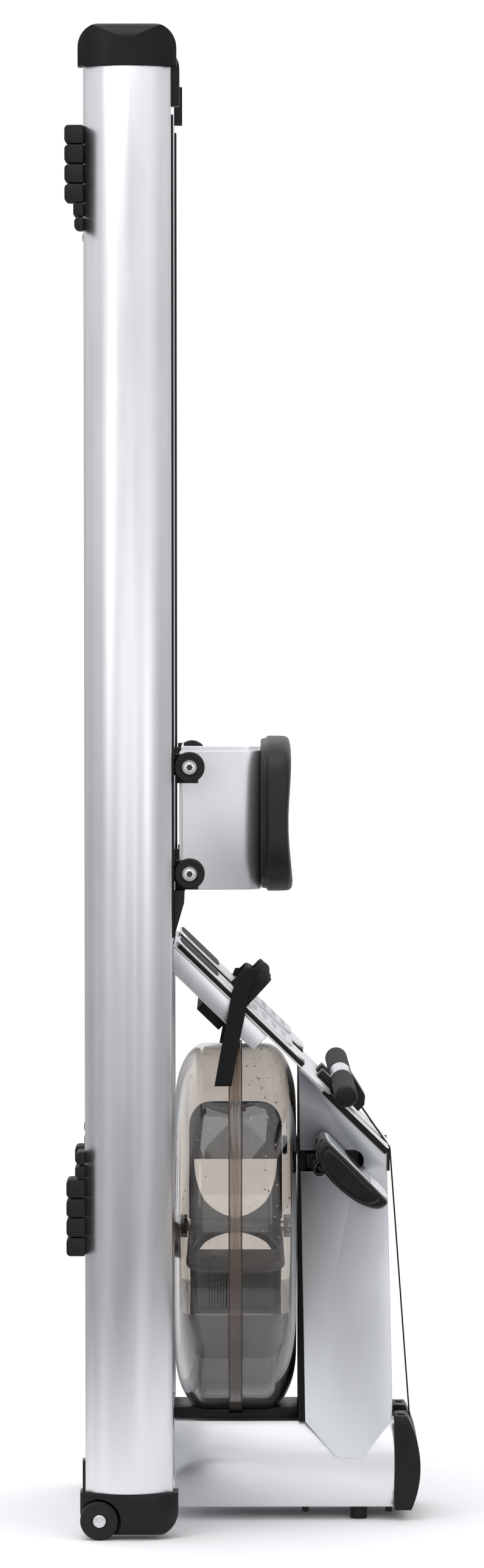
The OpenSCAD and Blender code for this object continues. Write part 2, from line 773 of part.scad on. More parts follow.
// Webbing: a band swept along a line of places, each [x, y, z, across x, across y, across z]
function cross_to(p) = [p[3], p[4], p[5]];
function spot(p) = [p[0], p[1], p[2]];
function line_dir(ps, i) =
    let (d = spot(ps[min(i + 1, len(ps) - 1)]) - spot(ps[max(i - 1, 0)])) d / norm(d);
module band(ps, width, thick) {
    rings = [for (i = [0:len(ps) - 1])
        let (c = spot(ps[i]), a = cross_to(ps[i]), n = cross(line_dir(ps, i), a), u = n / norm(n))
        for (s = [[1, 1], [1, -1], [-1, -1], [-1, 1]])
            c + a * s[0] * width / 2 + u * s[1] * thick / 2];
    last = 4 * (len(ps) - 1);
    polyhedron(rings, concat(
        [[0, 1, 2], [0, 2, 3], [last, last + 2, last + 1], [last, last + 3, last + 2]],
        [for (i = [0:len(ps) - 2], k = [0:3], h = [0, 1])
            let (p = 4 * i + k, q = 4 * i + (k + 1) % 4)
            h == 0 ? [p, p + 4, q + 4] : [p, q + 4, q]]));
}

// Foot strap: an arch that stands up square over a foot plate
arch_u = 122;
arch_out = foot_plate_w / 2 + 2 * gap + webbing_t / 2;
arch_steps = 18;
function arch_place(t) =
    let (a = 180 * t, h = pow(sin(a), 0.72), y = -arch_out * sign(cos(a)) * pow(abs(cos(a)), 0.7))
    [arch_u, foot_plate_y + y, deck_t + 1 + webbing_t / 2 + (strap_arch + bed_h) * h];
module foot_strap() on_deck() band([for (i = [0:arch_steps])
    let (p = arch_place(i / arch_steps)) [p[0], p[1], p[2], 1, 0, 0]], webbing_w * 1.25, webbing_t);

// Loose end that hangs from the arch's outer side: places along X and down from its top
tail_u = arch_u - 10;
tail_y = foot_plate_y + arch_out + webbing_t + fit;
tail_drops = [[-6, 0], [-9, 18], [-13, 42], [-19, 70], [-25, 102], [-31, 136]];
module strap_tail() band([for (p = tail_drops)
    [p[0], tail_y, deck_z(tail_u, 20) - p[1], 1, 0, 0]], webbing_w, webbing_t);
module foot_straps() color("#202124") both_sides() {
    foot_strap();
    strap_tail();
}

// The handle's own view, turned as it lies in its rest
module in_rest() translate([handle_x, 0, handle_z]) rotate([handle_raise, 0, handle_swing]) children();

// Cradle for the handle, open along the way in which the handle is lifted
rest_half = 70;
module handle_rest() color("#1a1a1b") difference() {
    both_sides() on_deck() block([handle_u - 30, clamp_half + 3, 0], [handle_u + 14, rest_half, handle_w - 8]);
    on_deck() block([handle_u - 31, -rest_half - past, -past], [deck_len + gap, rest_half + past, deck_t]);
    in_rest() {
        along_y(-rest_half - 20, 2 * rest_half + 40, grip_r + gap);
        block([-grip_r - gap, -rest_half - 20, 0], [grip_r + gap, rest_half + 20, 60]);
    }
}

// Fixed axles: front pulley, bungee pulley with the bungee's anchor, and transport wheels
module pulley_axle() translate([pulley_x, 0, pulley_z]) along_y(-column_y - 10, 2 * column_y + 20, axle_r);
module axles() color("#a8aaad") {
    pulley_axle();
    translate([0, bungee_y, bungee_pulley_z]) along_x(board_front, spool_x - board_front + 14, axle_r);
    translate([0, bungee_y - bungee_path, bungee_anchor_z]) {
        along_x(board_front, spool_x - board_front + anchor_half, axle_r);
        block([spool_x - anchor_half, -anchor_half, 0], [spool_x + anchor_half, anchor_half, anchor_h]);
    }
    both_sides() translate([roller_cx, 0, roller_r]) {
        along_y(roller_y - roller_w / 2 - 12, roller_w + 12 + gap, seat_axle_r);
        along_y(roller_y + roller_w / 2 + gap, 2.6, 9);
    }
}

// Bungee: from the spool, round its pulley and up to the anchor
bungee_steps = 10;
bungee_route = concat(
    [for (i = [0:4]) let (a = 60 - 15 * i) [spool_x, -spool_path * cos(a), tank_z + spool_path * sin(a)]],
    [for (i = [0:bungee_steps]) let (a = 180 * i / bungee_steps)
        [spool_x, bungee_y + bungee_path * cos(a), bungee_pulley_z - bungee_path * sin(a)]],
    [[spool_x, bungee_y - bungee_path, bungee_anchor_z - axle_r]]
);
module tube(route, r, sides) {
    n = len(route);
    function dir(i) = let (d = route[min(i + 1, n - 1)] - route[max(i - 1, 0)]) d / norm(d);
    rings = [for (i = [0:n - 1], k = [0:sides - 1])
        let (a = 360 * k / sides, u = [1, 0, 0], v = cross(dir(i), u))
        route[i] + r * (cos(a) * u + sin(a) * v)];
    ends = [for (k = [1:sides - 2], h = [0, 1])
        h == 0 ? [0, k + 1, k] : [(n - 1) * sides, (n - 1) * sides + k, (n - 1) * sides + k + 1]];
    walls = [for (i = [0:n - 2], k = [0:sides - 1], h = [0, 1])
        let (p = i * sides + k, q = i * sides + (k + 1) % sides)
        h == 0 ? [p, q, q + sides] : [p, q + sides, p + sides]];
    polyhedron(rings, concat(ends, walls));
}
module recoil_bungee() color("#111111") tube(bungee_route, bungee_r, 10);

// Drive strap: from the clamp over the cover's edge, round the front pulley, and with a
// quarter twist to the drum, where it lies on the outer turn
clamp_u = handle_u + grip_r + clamp_len - 12;
strap_u = clamp_u + 4 * gap;
clamp_w = 12;
edge_r = 5;
edge_x = lip_x - edge_r + 1.5;
edge_z = deck_z_at(lip_x) - edge_r + 1.5;
strap_places = concat(
    [[deck_x(strap_u, clamp_w), 0, deck_z(strap_u, clamp_w), 0, 1, 0]],
    [for (a = [50:-10:0])
        [edge_x + (edge_r + 1.5) * cos(a), 0, edge_z + (edge_r + 1.5) * sin(a), 0, 1, 0]],
    [for (a = [0:15:180])
        [pulley_x + strap_path * cos(a), 0, pulley_z - strap_path * sin(a), 0, 1, 0]],
    [for (i = [1:15]) let (t = i / 16, a = 90 * min(1, t / 0.8))
        [pulley_x - strap_path + min(1, t / 0.8) * (drum_x - pulley_x + strap_path),
         t * drum_path * cos(drum_touch),
         pulley_z + t * (tank_z - pulley_z - drum_path * sin(drum_touch)), -sin(a), cos(a), 0]],
    [for (a = [-drum_touch:8:96])
        [drum_x, drum_path * cos(a), tank_z + drum_path * sin(a), -1, 0, 0]]
);
module drive_strap() color("#151515") band(strap_places, strap_w, strap_t);

module monitor_arm() color("#1d1d1f") at_side(near) translate([hinge_x, 0, hinge_z]) {
    block([board_front - hinge_x, side_y - 30, -11], [11, side_y - 4, 11]);
    along_y(side_y - 5, monitor_y - gap - side_y + 5, lug_r);
    along_y(side_y, monitor_y + monitor_w - 30 - side_y, hinge_r);
}

module seat_stops() color("#1b1b1d") both_sides()
    side_view(track_y - track_w / 2 - 4, track_w + 4) polygon([
        [track_x, deck_z0 + 15], [track_x + 6, stop_top - 45], [track_x + 14, stop_top - 17],
        [track_x + 14.5, stop_top], [track_x, stop_top]
    ]);

module paddle_shaft() color("#b4b6b9") translate([0, 0, tank_z])
    along_x(tank_x - tank_half + 9, shaft_end - tank_x + tank_half - 9, shaft_r);

module at_blades() for (a = [0, 120, 240]) rotate([a + paddle_turn, 0, 0]) children();
window_line = [for (a = [180:6:360]) [window_w / 2 * cos(a), window_r + (window_r - hub_r - 1) * sin(a)]];
module paddle_blades() color("#2c2d31") translate([tank_x, 0, tank_z]) difference() {
    union() {
        along_x(-blade_w / 2 + 3, blade_w - 6, hub_r);
        at_blades() side_view(-blade_t / 2, blade_t) difference() {
            round_top(blade_w, blade_r, blade_corner);
            polygon(window_line);
            translate([-blade_w / 2 - past, -past]) square([15, hub_r + past]);
            translate([blade_w / 2 - 15 + past, -past]) square([15, hub_r + past]);
        }
    }
    along_x(-blade_w, 2 * blade_w, shaft_r);
}

// Drum with its one-way clutch hub, the strap wound on it and the bungee's spool
module strap_drum() color("#3c3d40") translate([0, 0, tank_z]) difference() {
    union() {
        along_x(drum_x - drum_half, 2 * drum_half, wound_r);
        for (x = [drum_x - drum_half, drum_x + drum_half]) along_x(x, flange_t, drum_flange_r);
        along_x(drum_x + drum_half, spool_x + bungee_r + 5 - drum_x - drum_half, spool_r);
        along_x(spool_x + bungee_r + 5, flange_t, spool_r + 10);
    }
    along_x(drum_x - 100, 200, shaft_r + fit);
}

module front_pulley() color("#2a2a2c") translate([pulley_x, 0, pulley_z]) difference() {
    union() {
        along_y(-strap_w / 2 - 3, strap_w + 6, pulley_r);
        both_sides() along_y(strap_w / 2 + 1, 3, pulley_flange_r);
    }
    along_y(-50, 100, axle_r + fit);
}

module bungee_pulley() color("#2a2a2c") translate([spool_x, bungee_y, bungee_pulley_z]) difference() {
    along_x(-bungee_r - 4, 2 * bungee_r + 8, bungee_pulley_r + 7);
    difference() {
        along_x(-bungee_r - 1, 2 * bungee_r + 2, bungee_pulley_r + 20);
        along_x(-bungee_r - 5, 2 * bungee_r + 10, bungee_pulley_r);
    }
    along_x(-50, 100, axle_r + fit);
}

module handle_bar() color("#c9cbce") in_rest() {
    along_y(-handle_len / 2 + 6, handle_len - 12, handle_tube_r);
    along_y(-handle_mid / 2, handle_mid, grip_r - 3);
}

module handle_grips() color("#3b3c3e") in_rest() both_sides() difference() {
    union() {
        along_y(handle_mid / 2, handle_len / 2 - handle_mid / 2 - 5, grip_r);
        along_y(handle_len / 2 - 8, 8, grip_r - 2);
    }
    along_y(-past, handle_len / 2 - 6 + past, handle_tube_r);
}

// Clamp that joins the strap to the handle
module strap_clamp() color("#1b1b1d") in_rest() translate([-handle_x, 0, -handle_z]) difference() {
    on_deck() translate([0, clamp_half, 0]) rotate([90, 0, 0]) linear_extrude(2 * clamp_half) difference() {
        union() {
            translate([handle_u, handle_w]) circle(grip_r - 0.5);
            polygon([[handle_u + 4, handle_w + 1 - grip_r], [clamp_u, 5], [clamp_u, 18],
                     [clamp_u - 8, 28], [clamp_u - 22, 32], [handle_u + 6, handle_w + grip_r - 1.5]]);
        }
        translate([handle_u - 40, -20]) square([40, 100]);
    }
    translate([handle_x, 0, handle_z]) along_y(-60, 120, grip_r - 3);
}

// Seat frame: a hat section with its two wheel axles
module seat_frame() color("#c6c8cb") {
    translate([0, 0, seat_z0]) linear_extrude(seat_len) difference() {
        union() {
            translate([flange_x, 1.5 - rail_y]) square([seat_t, 2 * rail_y - 3]);
            translate([flange_x, 0]) rotate(-90) round_top(2 * seat_half, pedestal_x - flange_x, seat_bend);
        }
        translate([flange_x - past, 0]) rotate(-90)
            round_top(2 * (seat_half - seat_t), pedestal_x - flange_x - seat_t + past, seat_bend - seat_t);
    }
    for (z = wheel_zs) translate([wheel_x, 0, z]) both_sides() {
        along_y(seat_half - 1, wheel_y + seat_wheel_w / 2 + gap - seat_half + 1, seat_axle_r);
        along_y(wheel_y + seat_wheel_w / 2 + gap, 2.4, seat_axle_r + 4);
    }
}

module seat_guides() color("#18181a") both_sides() for (z = wheel_zs) difference() {
    union() {
        block([track_x + gap + 1, rail_y + 1, z - guide_down],
              [wheel_x + guide_half, wheel_y - seat_wheel_w / 2 - gap, z + guide_up]);
        block([face_x - guide_deep, rail_y - 1 - guide_w, z - guide_half],
              [flange_x, rail_y - 1, z + guide_half]);
        block([face_x + 1, rail_y - 1 - guide_w, z - guide_half], [flange_x, rail_y + 2, z + guide_half]);
    }
    translate([wheel_x, 0, z]) along_y(0, reach, seat_axle_r);
}

// Cushion: rings of a rounded rectangle that draws in at the base and crowns at the top
cushion_x = pedestal_x + gap;
cushion_sides = 56;
function super(a, r, p) = r * sign(cos(a)) * pow(abs(cos(a)), p);
function cushion_crown(z, y, h) =
    let (s = z / (cushion_len / 2), t = y / (cushion_w / 2), dip = pow(cos(90 * min(1, abs(s + 0.08))), 2))
    h <= 0.3 ? 0 : -(h - 0.3) / 0.7 * cushion_dip * dip * (1 - 0.35 * t * t);
function cushion_points(rings) = concat([for (ring = rings, k = [0:cushion_sides - 1])
    let (a = 360 * k / cushion_sides,
         z = ring[0] * super(a, cushion_len / 2, 0.5),
         y = ring[0] * super(a - 90, cushion_w / 2, 0.5))
    [cushion_x + cushion_h * ring[1] + cushion_crown(z, y, ring[1]), y, seat_mid + z]],
    [[cushion_x + cushion_h - cushion_dip, 0, seat_mid], [cushion_x, 0, seat_mid]]);
module seat_cushion() color("#1c1c1e") {
    rings = [[0.90, 0], [0.955, 0.08], [0.985, 0.25], [1, 0.5], [0.99, 0.72], [0.955, 0.88],
             [0.87, 0.965], [0.7, 1], [0.45, 1], [0.2, 1]];
    n = len(rings);
    m = cushion_sides;
    polyhedron(cushion_points(rings), concat(
        [for (k = [0:m - 1]) [k, (k + 1) % m, n * m + 1]],
        [for (i = [0:n - 2], k = [0:m - 1], h = [0, 1])
            let (p = i * m + k, q = i * m + (k + 1) % m)
            h == 0 ? [p, p + m, q + m] : [p, q + m, q]],
        [for (k = [0:m - 1]) [(n - 1) * m + k, n * m, (n - 1) * m + (k + 1) % m]]));
}

module seat_wheel(side, i) color("#1e1e20") at_side(side) translate([wheel_x, 0, wheel_zs[i]])
    difference() {
        along_y(wheel_y - seat_wheel_w / 2, seat_wheel_w, seat_wheel_r);
        along_y(0, reach, seat_axle_r + fit);
    }

module transport_wheel(side) color("#1e1e20") at_side(side) translate([roller_cx, 0, roller_r])
    difference() {
        along_y(roller_y - roller_w / 2, roller_w, roller_r);
        along_y(0, reach, seat_axle_r + fit);
    }

// Monitor's own view: a along the face, b behind it, hung on its hinge
module in_monitor() at_side(near) translate([hinge_x, 0, hinge_z]) rotate([0, monitor_tilt, 0])
    translate([-hinge_a, monitor_y + monitor_w, hinge_b]) rotate([90, 0, 0]) children();
monitor_back = [for (i = [0:16]) let (t = i / 16)
    [monitor_len * t, -15 - (monitor_d - 15) * pow(sin(180 * pow(t, 0.92)), 0.8)]];
module monitor_side() polygon(concat(
    [[2, 0]], [for (p = monitor_back) p], [[monitor_len - 2, 0]]));

module monitor_case() color("#141415") difference() {
    in_monitor() difference() {
        union() {
            linear_extrude(monitor_w) monitor_side();
            for (y = lug_ys) translate([hinge_a, -hinge_b, y - past]) {
                cylinder(h = lug_len + 2 * past, r = lug_r);
                translate([-8, 0, 0]) cube([16, 12, lug_len + 2 * past]);
            }
        }
        translate([screen_a, -screen_t, screen_edge])
            cube([screen_len, screen_t + past, monitor_w - 2 * screen_edge]);
        for (y = button_ys) translate([button_a, -button_deep, y])
            cube([button_size, button_deep + past, button_size]);
    }
    at_side(near) translate([hinge_x, 0, hinge_z]) {
        along_y(0, reach, hinge_r + fit);
        along_y(monitor_y - past, lug_ys[0] + past, lug_r + 0.5);
        along_y(monitor_y + lug_ys[0] + lug_len, lug_ys[1] - lug_ys[0] - lug_len, lug_r + 0.5);
        along_y(monitor_y + lug_ys[1] + lug_len, lug_ys[0] + past, lug_r + 0.5);
    }
}

module monitor_screen() color("#b8c0bc") in_monitor()
    translate([screen_a + gap, -screen_t, screen_edge + gap])
        cube([screen_len - 2 * gap, screen_t, monitor_w - 2 * screen_edge - 2 * gap]);

module monitor_button(i) color("#d9d9d9") in_monitor()
    translate([button_a + gap, gap + button_travel - button_deep, button_ys[i] + gap])
        cube([button_size - 2 * gap, button_deep + past, button_size - 2 * gap]);

rail(near);  // near_rail
rail(far);  // far_rail
seat_tracks();
rear_cap(near);  // near_rear_cap
rear_cap(far);  // far_rear_cap
front_cap(near);  // near_front_cap
front_cap(far);  // far_front_cap
rubber_feet();
rail_spreaders();
column(near);  // near_column
column(far);  // far_column
column_cap();
column_feet();
tank_cradle();
drive_board();
tank_lower_shell();
tank_upper_shell();
tank_seal();
tank_bearings();
tank_plug();
water();
side_plate(near);  // near_side_plate
side_plate(far);  // far_side_plate
screws();
deck_cover();
drive_cover();
foot_deck();
foot_beams();
foot_bed();
foot_plates();
foot_straps();
handle_rest();
axles();
recoil_bungee();
drive_strap();
monitor_arm();
seat_stops();
paddle_shaft();
paddle_blades();
strap_drum();
front_pulley();
bungee_pulley();
heel_plate(near);  // near_heel_plate
heel_plate(far);  // far_heel_plate
handle_bar();
handle_grips();
strap_clamp();
seat_frame();
seat_cushion();
seat_guides();
seat_wheel(near, 0);  // near_front_wheel
seat_wheel(near, 1);  // near_rear_wheel
seat_wheel(far, 0);  // far_front_wheel
seat_wheel(far, 1);  // far_rear_wheel
transport_wheel(near);  // near_transport_wheel
transport_wheel(far);  // far_transport_wheel
monitor_case();
monitor_screen();
monitor_button(0);  // units_button
monitor_button(1);  // reset_button
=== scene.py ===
# %% [markdown]
# # A water rowing machine, dressed for its picture
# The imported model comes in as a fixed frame: every body and node already stands where the drawing
# put it, and nothing below moves it. The code keeps the drawing's millimetres, because the machine
# was designed in them, and one factor turns them into Blender's metres at the very end.

# %% Load the frame
import json
import math

import bmesh
import bpy
import numpy as np
from mathutils import Matrix, Vector


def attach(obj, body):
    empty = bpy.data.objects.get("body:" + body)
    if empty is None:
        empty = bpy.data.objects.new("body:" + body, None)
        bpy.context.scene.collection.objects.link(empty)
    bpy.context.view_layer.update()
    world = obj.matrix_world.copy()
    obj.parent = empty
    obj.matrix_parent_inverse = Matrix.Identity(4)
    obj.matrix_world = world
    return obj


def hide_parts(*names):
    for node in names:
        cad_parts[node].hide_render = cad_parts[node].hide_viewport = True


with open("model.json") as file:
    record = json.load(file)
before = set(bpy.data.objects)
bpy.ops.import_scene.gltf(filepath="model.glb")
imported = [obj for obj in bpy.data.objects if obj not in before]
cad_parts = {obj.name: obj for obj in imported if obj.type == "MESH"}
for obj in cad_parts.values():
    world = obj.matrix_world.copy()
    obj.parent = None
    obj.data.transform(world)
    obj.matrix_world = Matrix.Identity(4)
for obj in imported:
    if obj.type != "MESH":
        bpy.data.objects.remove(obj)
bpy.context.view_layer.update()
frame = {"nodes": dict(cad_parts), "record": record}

MM = 0.001
scene = bpy.context.scene

# %% [markdown]
# ## Camera
# The machine was seen from far away through a long lens, so its upright edges stay almost parallel.
# A camera could be placed by eye, but here the distance, height and tilt were worked out from the
# known sizes of the rails, so the lens length follows from the distance.

# %% Place the camera
lens_px = 11253.6
image_px = (795, 2576)
camera = bpy.data.cameras.new("studio_camera")
camera.sensor_fit = "VERTICAL"
camera.sensor_height = 36.0
camera.lens = lens_px / image_px[1] * camera.sensor_height
camera.clip_end = 200.0
eye = bpy.data.objects.new("studio_camera", camera)
scene.collection.objects.link(eye)
eye_mm = (-3.77, -9785, 1442)
tilt_down = math.radians(2.3244)
roll = math.radians(-0.0532)
eye.matrix_world = (
    Matrix.Translation([c * MM for c in eye_mm])
    @ Matrix.Rotation(math.pi / 2 - tilt_down, 4, "X")
    @ Matrix.Rotation(roll, 4, "Z")
)
scene.camera = eye
print("lens", round(camera.lens, 2), "mm")

# %% [markdown]
# ## Studio light
# Satin metal shows what stands round it more than it shows itself. The studio is therefore a sky
# that is bright overhead and calm at eye height, with large soft boxes near the machine: one high
# up, one in front, and a tall one on each side, which draw the long light lines on the bulged
# rails. The boxes stand close, so their light fades down the rails, as a far sky's would not.

# %% Node helpers
def fill(tree, socket, value):
    """Gives a socket a value or another node's output."""
    if isinstance(value, bpy.types.NodeSocket):
        tree.links.new(value, socket)
    else:
        socket.default_value = value


def feed(tree, node, **values):
    """Fills a node's inputs by their labels, with _ for a space."""
    for label, value in values.items():
        fill(tree, node.inputs[label.replace("_", " ")], value)
    return node


def make(tree, kind, **values):
    """A new node with its inputs filled."""
    return feed(tree, tree.nodes.new("ShaderNode" + kind), **values)


def maths(tree, operation, *values):
    """What a Math node makes of its values."""
    node = make(tree, "Math")
    node.operation = operation
    for socket, value in zip(node.inputs, values):
        fill(tree, socket, value)
    return node.outputs[0]


def spread(tree, value, low, high, out_low, out_high, flank="LINEAR"):
    """Maps a value's span low..high onto out_low..out_high, evenly or with a smooth flank."""
    node = make(tree, "MapRange", Value=value, From_Min=low, From_Max=high, To_Min=out_low, To_Max=out_high)
    node.interpolation_type = flank
    return node.outputs["Result"]


# %% A calm sky
scene.view_settings.view_transform = "Standard"
world = bpy.data.worlds.new("studio")
world.use_nodes = True
scene.world = world
sky = world.node_tree
sky.nodes.clear()

eye_level, overhead, underfoot, darkest, backdrop_strength = 0.50, 0.60, -0.5, 0.25, 1.05
parts = make(sky, "SeparateXYZ", Vector=make(sky, "TexCoord").outputs["Generated"]).outputs
azimuth = maths(sky, "ARCTAN2", parts["X"], maths(sky, "MULTIPLY", parts["Y"], -1.0))
above = maths(sky, "MAXIMUM", parts["Z"], 0.0)
below = maths(sky, "MAXIMUM", maths(sky, "MULTIPLY", parts["Z"], -1.0), 0.0)
level = maths(sky, "MULTIPLY_ADD", above, overhead, eye_level)
level = maths(sky, "MULTIPLY_ADD", below, underfoot, level)
level = maths(sky, "MAXIMUM", level, darkest)
for middle, half_width, amount in ((-42, 30, 0.22), (38, 26, 0.25), (-150, 60, 0.35), (140, 60, 0.35)):
    away = maths(sky, "ABSOLUTE", maths(sky, "SUBTRACT", azimuth, math.radians(middle)))
    hump = spread(sky, away, 0.0, math.radians(half_width), 1.0, 0.0, "SMOOTHSTEP")
    level = maths(sky, "MULTIPLY_ADD", hump, amount, level)
red, green, blue = (maths(sky, "MULTIPLY", level, amount) for amount in (1.0, 1.005, 1.03))
tint = make(sky, "CombineColor", Red=red, Green=green, Blue=blue)
studio = make(sky, "Background", Color=tint.outputs["Color"])
backdrop = make(sky, "Background", Color=(1, 1, 1, 1), Strength=backdrop_strength)
path = make(sky, "LightPath").outputs
seen = maths(sky, "MAXIMUM", path["Is Camera Ray"], path["Is Transmission Ray"])
choose = make(sky, "MixShader")
for socket, value in zip(choose.inputs, (seen, studio.outputs[0], backdrop.outputs[0])):
    fill(sky, socket, value)
make(sky, "OutputWorld", Surface=choose.outputs[0])


# %% Soft boxes
def soft_box(name, place, aim, size, radiance):
    """A rectangular lamp at a place, facing a point, both in metres, with a wanted brightness."""
    lamp = bpy.data.lights.new(name, "AREA")
    lamp.shape = "RECTANGLE"
    lamp.size, lamp.size_y = size
    lamp.energy = radiance * math.pi * size[0] * size[1]
    holder = bpy.data.objects.new(name, lamp)
    holder.visible_camera = False
    scene.collection.objects.link(holder)
    away = Vector(place) - Vector(aim)
    holder.matrix_world = Matrix.Translation(place) @ away.to_track_quat("Z", "Y").to_matrix().to_4x4()


soft_box("top_box", (-0.9, -1.4, 4.2), (0, 0, 0.6), (2.6, 2.6), 2.1)
soft_box("front_box", (0.0, -3.8, 1.35), (0, 0, 1.3), (2.6, 1.6), 0.82)
soft_box("left_box", (-1.75, -2.25, 1.95), (-0.16, -0.25, 1.95), (0.8, 1.5), 1.14)
soft_box("right_box", (1.5, -2.2, 1.25), (-0.16, -0.25, 1.25), (0.7, 1.1), 1.10)
print("sky and four boxes are up")

# %% [markdown]
# ## Finishes
# Every finish is one shader fed by textures worked out from the piece's own millimetres: a fine
# grain for extruded metal, pores for foam, a woven height for webbing. Painting pictures of them
# would need files and would smear when a piece is stretched.

# %% Texture helpers
finishes = {}


def start_finish(name, colour, roughness, **sockets):
    """A new material with its uniform values set on the shader's own sockets."""
    material = bpy.data.materials.new(name)
    material.use_nodes = True
    material.diffuse_color = (*colour, 1.0)
    finishes[name] = material
    tree = material.node_tree
    shader = tree.nodes["Principled BSDF"]
    feed(tree, shader, Base_Color=(*colour, 1.0), Roughness=roughness, **sockets)
    return tree, shader


def own_place(tree):
    """The place on the piece, in metres."""
    return make(tree, "TexCoord").outputs["Object"]


def grain(tree, scale, detail, stretch=(1, 1, 1)):
    """Noise with that many waves in a metre, squeezed along the axes by stretch."""
    mapping = make(tree, "Mapping", Vector=own_place(tree), Scale=stretch)
    noise = make(tree, "TexNoise", Vector=mapping.outputs["Vector"], Scale=scale, Detail=detail,
                 Roughness=0.55)
    return noise.outputs["Fac"]


def pores(tree, scale):
    """Distance to the nearest of many scattered points: round pits or grains."""
    return make(tree, "TexVoronoi", Vector=own_place(tree), Scale=scale).outputs["Distance"]


def fading(tree, centre, reach, turn):
    """1 at a place of the room, falling evenly to 0 on an ellipsoid around it turned about Y."""
    mapping = make(tree, "Mapping", Vector=own_place(tree), Location=centre, Rotation=(0.0, turn, 0.0),
                   Scale=reach)
    mapping.vector_type = "TEXTURE"
    ball = make(tree, "TexGradient", Vector=mapping.outputs["Vector"])
    ball.gradient_type = "SPHERICAL"
    return ball.outputs["Fac"]


def shade(tree, shader, value, dark, light, low=0.3, high=0.7):
    """Colours the surface between two tones by a value."""
    ramp = make(tree, "ValToRGB", Fac=value)
    for stop, position, tone in zip(ramp.color_ramp.elements, (low, high), (dark, light)):
        stop.position = position
        stop.color = (*tone, 1.0)
    feed(tree, shader, Base_Color=ramp.outputs["Color"])


def relief(tree, shader, value, depth_mm, strength):
    """Raises and sinks the surface by a value, depth_mm from its lowest to its highest."""
    bump = make(tree, "Bump", Height=value, Strength=strength, Distance=depth_mm * MM)
    feed(tree, shader, Normal=bump.outputs["Normal"])


def polish(tree, shader, value, smoothest, roughest):
    """Lets the roughness wander with a value."""
    feed(tree, shader, Roughness=spread(tree, value, 0.3, 0.7, smoothest, roughest))


def clouded(name, colour, dark, light, roughness, scale, detail, stretch=(1, 1, 1), **sockets):
    """A finish whose tone wanders with a noise; roughness is one value, or that and its span."""
    tree, shader = start_finish(name, colour, roughness[0], **sockets)
    cloud = grain(tree, scale, detail, stretch)
    shade(tree, shader, cloud, dark, light)
    if len(roughness) > 1:
        polish(tree, shader, cloud, *roughness[1:])
    return tree, shader


# %% [markdown]
# ### Metals
# The rails, columns and beams are anodised extrusions: a pale satin with faint lines along the
# length, left by the die. The sheet parts are the same metal with a powdery coat. Turned and
# plated parts are smoother. Metal needs its colour in the reflection, so all of them are metallic
# and differ in tone, grain direction and roughness. The side plates' base colour fades to dark near the
# deck and the board beside them: painted shade and reflection of those black pieces.

# %% Metal finishes
for name, axis in (("satin_aluminium", 2), ("column_aluminium", 0)):
    for_lines, for_clouds = ([amount if k == axis else 1 for k in range(3)] for amount in (0.01, 0.25))
    tree, shader = clouded(name, (0.80, 0.81, 0.825), (0.755, 0.765, 0.785), (0.835, 0.84, 0.85),
                           (0.34, 0.30, 0.38), 14.0, 4.0, for_clouds, Metallic=1.0)
    relief(tree, shader, grain(tree, 900.0, 2.0, for_lines), 0.02, 0.35)


def coated(tree, shader, scale=2600.0):
    """The fine grains of a powdery coat."""
    relief(tree, shader, grain(tree, scale, 1.0), 0.015, 0.5)


coated(*clouded("grey_sheet", (0.62, 0.635, 0.655), (0.585, 0.60, 0.62), (0.655, 0.668, 0.685),
                (0.36, 0.33, 0.42), 9.0, 4.0, Metallic=1.0))
coated(*clouded("seat_sheet", (0.80, 0.81, 0.82), (0.775, 0.785, 0.80), (0.83, 0.84, 0.85),
                (0.42, 0.38, 0.47), 9.0, 4.0, Metallic=0.85))
coated(*clouded("light_sheet", (0.84, 0.845, 0.85), (0.82, 0.825, 0.83), (0.87, 0.873, 0.876),
                (0.42, 0.38, 0.47), 8.0, 3.0, Metallic=0.55), scale=2200.0)

# The side plates' colour is darkened towards the deck and the board: painted shade and reflection, not the
# sheet's own tone.
tree, shader = start_finish("plate_sheet_painted_shade", (0.70, 0.715, 0.74), 0.36, Metallic=1.0)
painted_deck_shade = fading(tree, (0.087, 0.0, 0.632), (0.135, 9.0, 0.055), math.radians(44.0))
painted_board_shade = fading(tree, (0.080, 0.0, 0.500), (0.19, 9.0, 0.19), 0.0)
painted_dark_mask = maths(tree, "MAXIMUM", painted_deck_shade, painted_board_shade)
shade(tree, shader, painted_dark_mask, (0.72, 0.735, 0.76), (0.17, 0.175, 0.195), 0.0, 0.95)
polish(tree, shader, grain(tree, 9.0, 4.0), 0.33, 0.42)
coated(tree, shader)

clouded("steel", (0.70, 0.705, 0.71), (0.62, 0.625, 0.63), (0.76, 0.765, 0.77), (0.22, 0.18, 0.28),
        1200.0, 2.0, Metallic=1.0)
clouded("dark_steel", (0.055, 0.056, 0.06), (0.045, 0.046, 0.05), (0.08, 0.081, 0.085),
        (0.35, 0.28, 0.42), 700.0, 2.0, Metallic=0.85)
print("metals:", ", ".join(finishes))

# %% [markdown]
# ### Plastics and rubber
# Black is never one black on such a machine: the monitor is glossy, the caps and the seat are
# satin with a spark-eroded texture from their moulds, and rubber is duller and faintly dusty. The
# difference lies in the roughness and the size of the texture, with hardly any change of tone.

# %% Plastic and rubber finishes
def black_plastic(name, tone, smoothest, roughest, texture_scale, depth_mm, **sockets):
    """Moulded black: a tone, a span of roughness and a fine spark-eroded relief."""
    tree, shader = clouded(name, (tone, tone, tone * 1.06), (tone * 0.85,) * 2 + (tone * 0.92,),
                           (tone * 1.2,) * 2 + (tone * 1.28,), (roughest, smoothest, roughest),
                           30.0, 3.0, **sockets)
    relief(tree, shader, pores(tree, texture_scale), depth_mm, 0.35)


